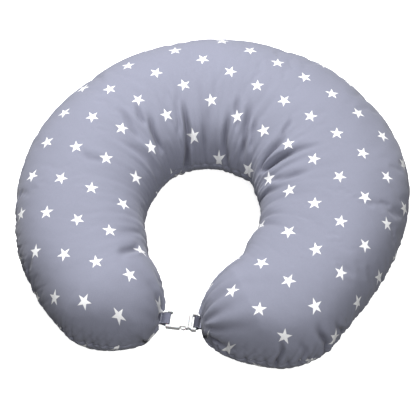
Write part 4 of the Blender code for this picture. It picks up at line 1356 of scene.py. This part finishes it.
acetal = Finish("white_acetal", (0.66, 0.67, 0.68), 0.36,
                {"Subsurface Weight": 0.08, "Subsurface Scale": 0.002, "IOR": 1.48})
grain = acetal.noise(acetal.place(), 2600.0, 3.0, 0.6)
rubbed = acetal.noise(acetal.place(), 130.0, 3.0, 0.6)
acetal.colour(acetal.mix(rubbed, (0.62, 0.63, 0.64), (0.69, 0.70, 0.70)))
acetal.roughness(rubbed * 0.22 + 0.27)
acetal.bump(grain, 0.12, 0.0002)
dress(acetal, "buckle_socket", "buckle_plug", "plug_prong_back", "plug_prong_front")

# %% [markdown]
# ## The zip
# The tapes are woven in a herringbone. Between them runs a nylon coil: on each side a row of small
# loops that lock into the gaps of the other row. One loop is a cube with bevelled edges, and `spin`
# with `use_duplicate` lays copies of it round the zip's arc.

# %% The two rows of the coil
TOOTH_ALONG = 0.00095
TOOTH_PITCH = 0.0016
TOOTH_RADIUS = 0.31765
TOOTH_THICK = 0.0014
TOOTH_HIGH = 0.0024
TOOTH_BEVEL = 0.00034
ROW_OFF_SEAM = 0.00112
TEETH_FROM = radians(24.1)
TEETH_TO = radians(67.1)


def coil(name, way):
    """One row of loops: way is 1 above the seam and -1 below it."""
    count = int((TEETH_TO - TEETH_FROM) * TOOTH_RADIUS / TOOTH_PITCH)
    step = TOOTH_PITCH / TOOTH_RADIUS
    bm = bmesh.new()
    verts = bmesh.ops.create_cube(bm, size=1.0)["verts"]
    size = Matrix.Diagonal((TOOTH_ALONG, TOOTH_THICK, TOOTH_HIGH, 1.0))
    outside = Matrix.Translation((0.0, TOOTH_THICK / 2, 0.0))
    bmesh.ops.transform(bm, matrix=outside @ size, verts=verts)
    bmesh.ops.bevel(bm, geom=bm.edges[:], offset=TOOTH_BEVEL, segments=2, affect="EDGES",
                    profile=0.5, material=-1)
    start = TEETH_FROM + (0.5 * step if way > 0 else 0.0)
    centre = Matrix.Translation((*ZIP_CENTRE, SEAM_HEIGHT + way * ROW_OFF_SEAM))
    on_arc = Matrix.Rotation(start, 4, "Z") @ Matrix.Translation((0.0, TOOTH_RADIUS, 0.0))
    bmesh.ops.transform(bm, matrix=centre @ on_arc, verts=bm.verts)
    everything = bm.verts[:] + bm.edges[:] + bm.faces[:]
    bmesh.ops.spin(bm, geom=everything, cent=(*ZIP_CENTRE, 0.0), axis=(0, 0, 1),
                   angle=step * (count - 1), steps=count - 1, use_duplicate=True)
    obj = built(name, bm)
    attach(obj, "left_half")
    print(name, count, "loops,", len(obj.data.polygons), "faces")
    return obj


coil_upper = coil("zip_coil_upper", 1)
coil_lower = coil("zip_coil_lower", -1)
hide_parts("zip_teeth_upper")
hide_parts("zip_teeth_lower")

# %% Finishes of the zip
ZIGZAG_HEIGHT = 0.0016
RIB_STEP = 0.0007

nylon = Finish("zip_nylon", (0.40, 0.41, 0.48), 0.42)
fleck = nylon.noise(nylon.place(), 700.0, 2.0)
nylon.colour(nylon.mix(fleck, (0.34, 0.35, 0.42), (0.46, 0.47, 0.54)))
nylon.roughness(fleck * 0.2 + 0.33)
nylon.bump(fleck, 0.15, 0.0002)
nylon.on(coil_upper, coil_lower)

tape = Finish("zip_tape", (0.27, 0.28, 0.35), 0.85, {"Sheen Weight": 0.15})
x, y, z = tape.split(tape.place())
around = tape.maths("ARCTAN2", x - ZIP_CENTRE[0], y - ZIP_CENTRE[1]) * TOOTH_RADIUS
zigzag = tape.maths("PINGPONG", z - SEAM_HEIGHT, ZIGZAG_HEIGHT)
rib = tape.maths("SINE", (around + zigzag) * (2 * pi / RIB_STEP)) * 0.5 + 0.5
tape.colour(tape.mix(rib, (0.21, 0.22, 0.28), (0.33, 0.34, 0.42)))
tape.bump(rib, 0.5, 0.0003)
dress(tape, "zip_tape_upper", "zip_tape_lower")

metal = Finish("zip_metal", (0.58, 0.59, 0.61), 0.3, {"Metallic": 1.0})
scuff = metal.noise(metal.place(), 900.0, 4.0, 0.7)
metal.colour(metal.mix(scuff, (0.50, 0.51, 0.53), (0.68, 0.69, 0.70)))
metal.roughness(scuff * 0.3 + 0.18)
metal.bump(scuff, 0.1, 0.0002)
dress(metal, "zip_slider", "zip_pull", "zip_stop_closed_end", "zip_stop_open_end")

# %% [markdown]
# ## The care label
# A blank satin label hangs from the outer seam on the right. It is one small flat grid, moved to
# hang just outside the cushion, with a slight curl at its free end. `solidify` makes it a thin
# closed sheet.

# %% Hang the label
LABEL_WIDTH = 0.0300
LABEL_DROP = 0.0230
LABEL_THICKNESS = 0.0003
LABEL_TOP = 0.0690
LABEL_ENDS = ((0.1481, 0.2466), (0.1737, 0.2302))
LABEL_BACK = 0.15
LABEL_MARGIN = 0.004
LABEL_GAP = 0.0008
LABEL_CURL = 0.0011
LABEL_WAVE = 0.0004
LABEL_HEM = 0.0032
SATIN_STEP = 0.00045


def label_sheet():
    """The label, hung just outside the most outward point of the cloth behind it."""
    start, end = (np.array(p) for p in LABEL_ENDS)
    middle = (start + end) / 2
    along = (end - start) / np.linalg.norm(end - start)
    out = np.array((-along[1], along[0]))
    if np.dot(out, middle) < 0:
        out = -out
    from_middle = skin[..., :2] - middle
    height = skin[..., 2]
    behind = np.abs(from_middle @ along) < LABEL_WIDTH * 0.6
    behind &= (height > LABEL_TOP - LABEL_DROP - LABEL_MARGIN) & (height < LABEL_TOP + LABEL_MARGIN)
    behind &= skin[..., 1] > LABEL_BACK
    reach = (from_middle @ out)[behind].max()
    bm = bmesh.new()
    bmesh.ops.create_grid(bm, x_segments=30, y_segments=24, size=0.5)
    for vert in bm.verts:
        s, t = vert.co.x, 0.5 - vert.co.y
        curl = LABEL_CURL * (1 - cos(pi * t)) / 2 + LABEL_WAVE * sin(5.0 * s + 2.0 * t) * t
        plan = middle + along * (s * LABEL_WIDTH) + out * (reach + LABEL_GAP + curl)
        vert.co = (plan[0], plan[1], LABEL_TOP - t * LABEL_DROP)
    bmesh.ops.solidify(bm, geom=bm.verts[:] + bm.edges[:] + bm.faces[:], thickness=LABEL_THICKNESS)
    bmesh.ops.recalc_face_normals(bm, faces=bm.faces)
    print("label", len(bm.faces), "faces,", round(reach * 1000, 2), "mm beyond its line")
    return built("care_label_satin", bm)


label = label_sheet()
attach(label, "right_half")
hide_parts("care_label")

satin = Finish("label_satin", (0.90, 0.90, 0.89), 0.38, {"Sheen Weight": 0.2})
_, _, z = satin.split(satin.place())
floats = satin.maths("SINE", z * (2 * pi / SATIN_STEP)) * 0.5 + 0.5
hem = satin.between(z, LABEL_TOP - LABEL_HEM, LABEL_TOP - LABEL_HEM + 0.0004)
satin.colour(satin.mix(floats * 0.4 + hem * 0.3, (0.92, 0.92, 0.91), (0.80, 0.80, 0.80)))
satin.roughness(floats * 0.15 + 0.32)
satin.bump(floats, 0.25, 0.0002)
satin.on(label)
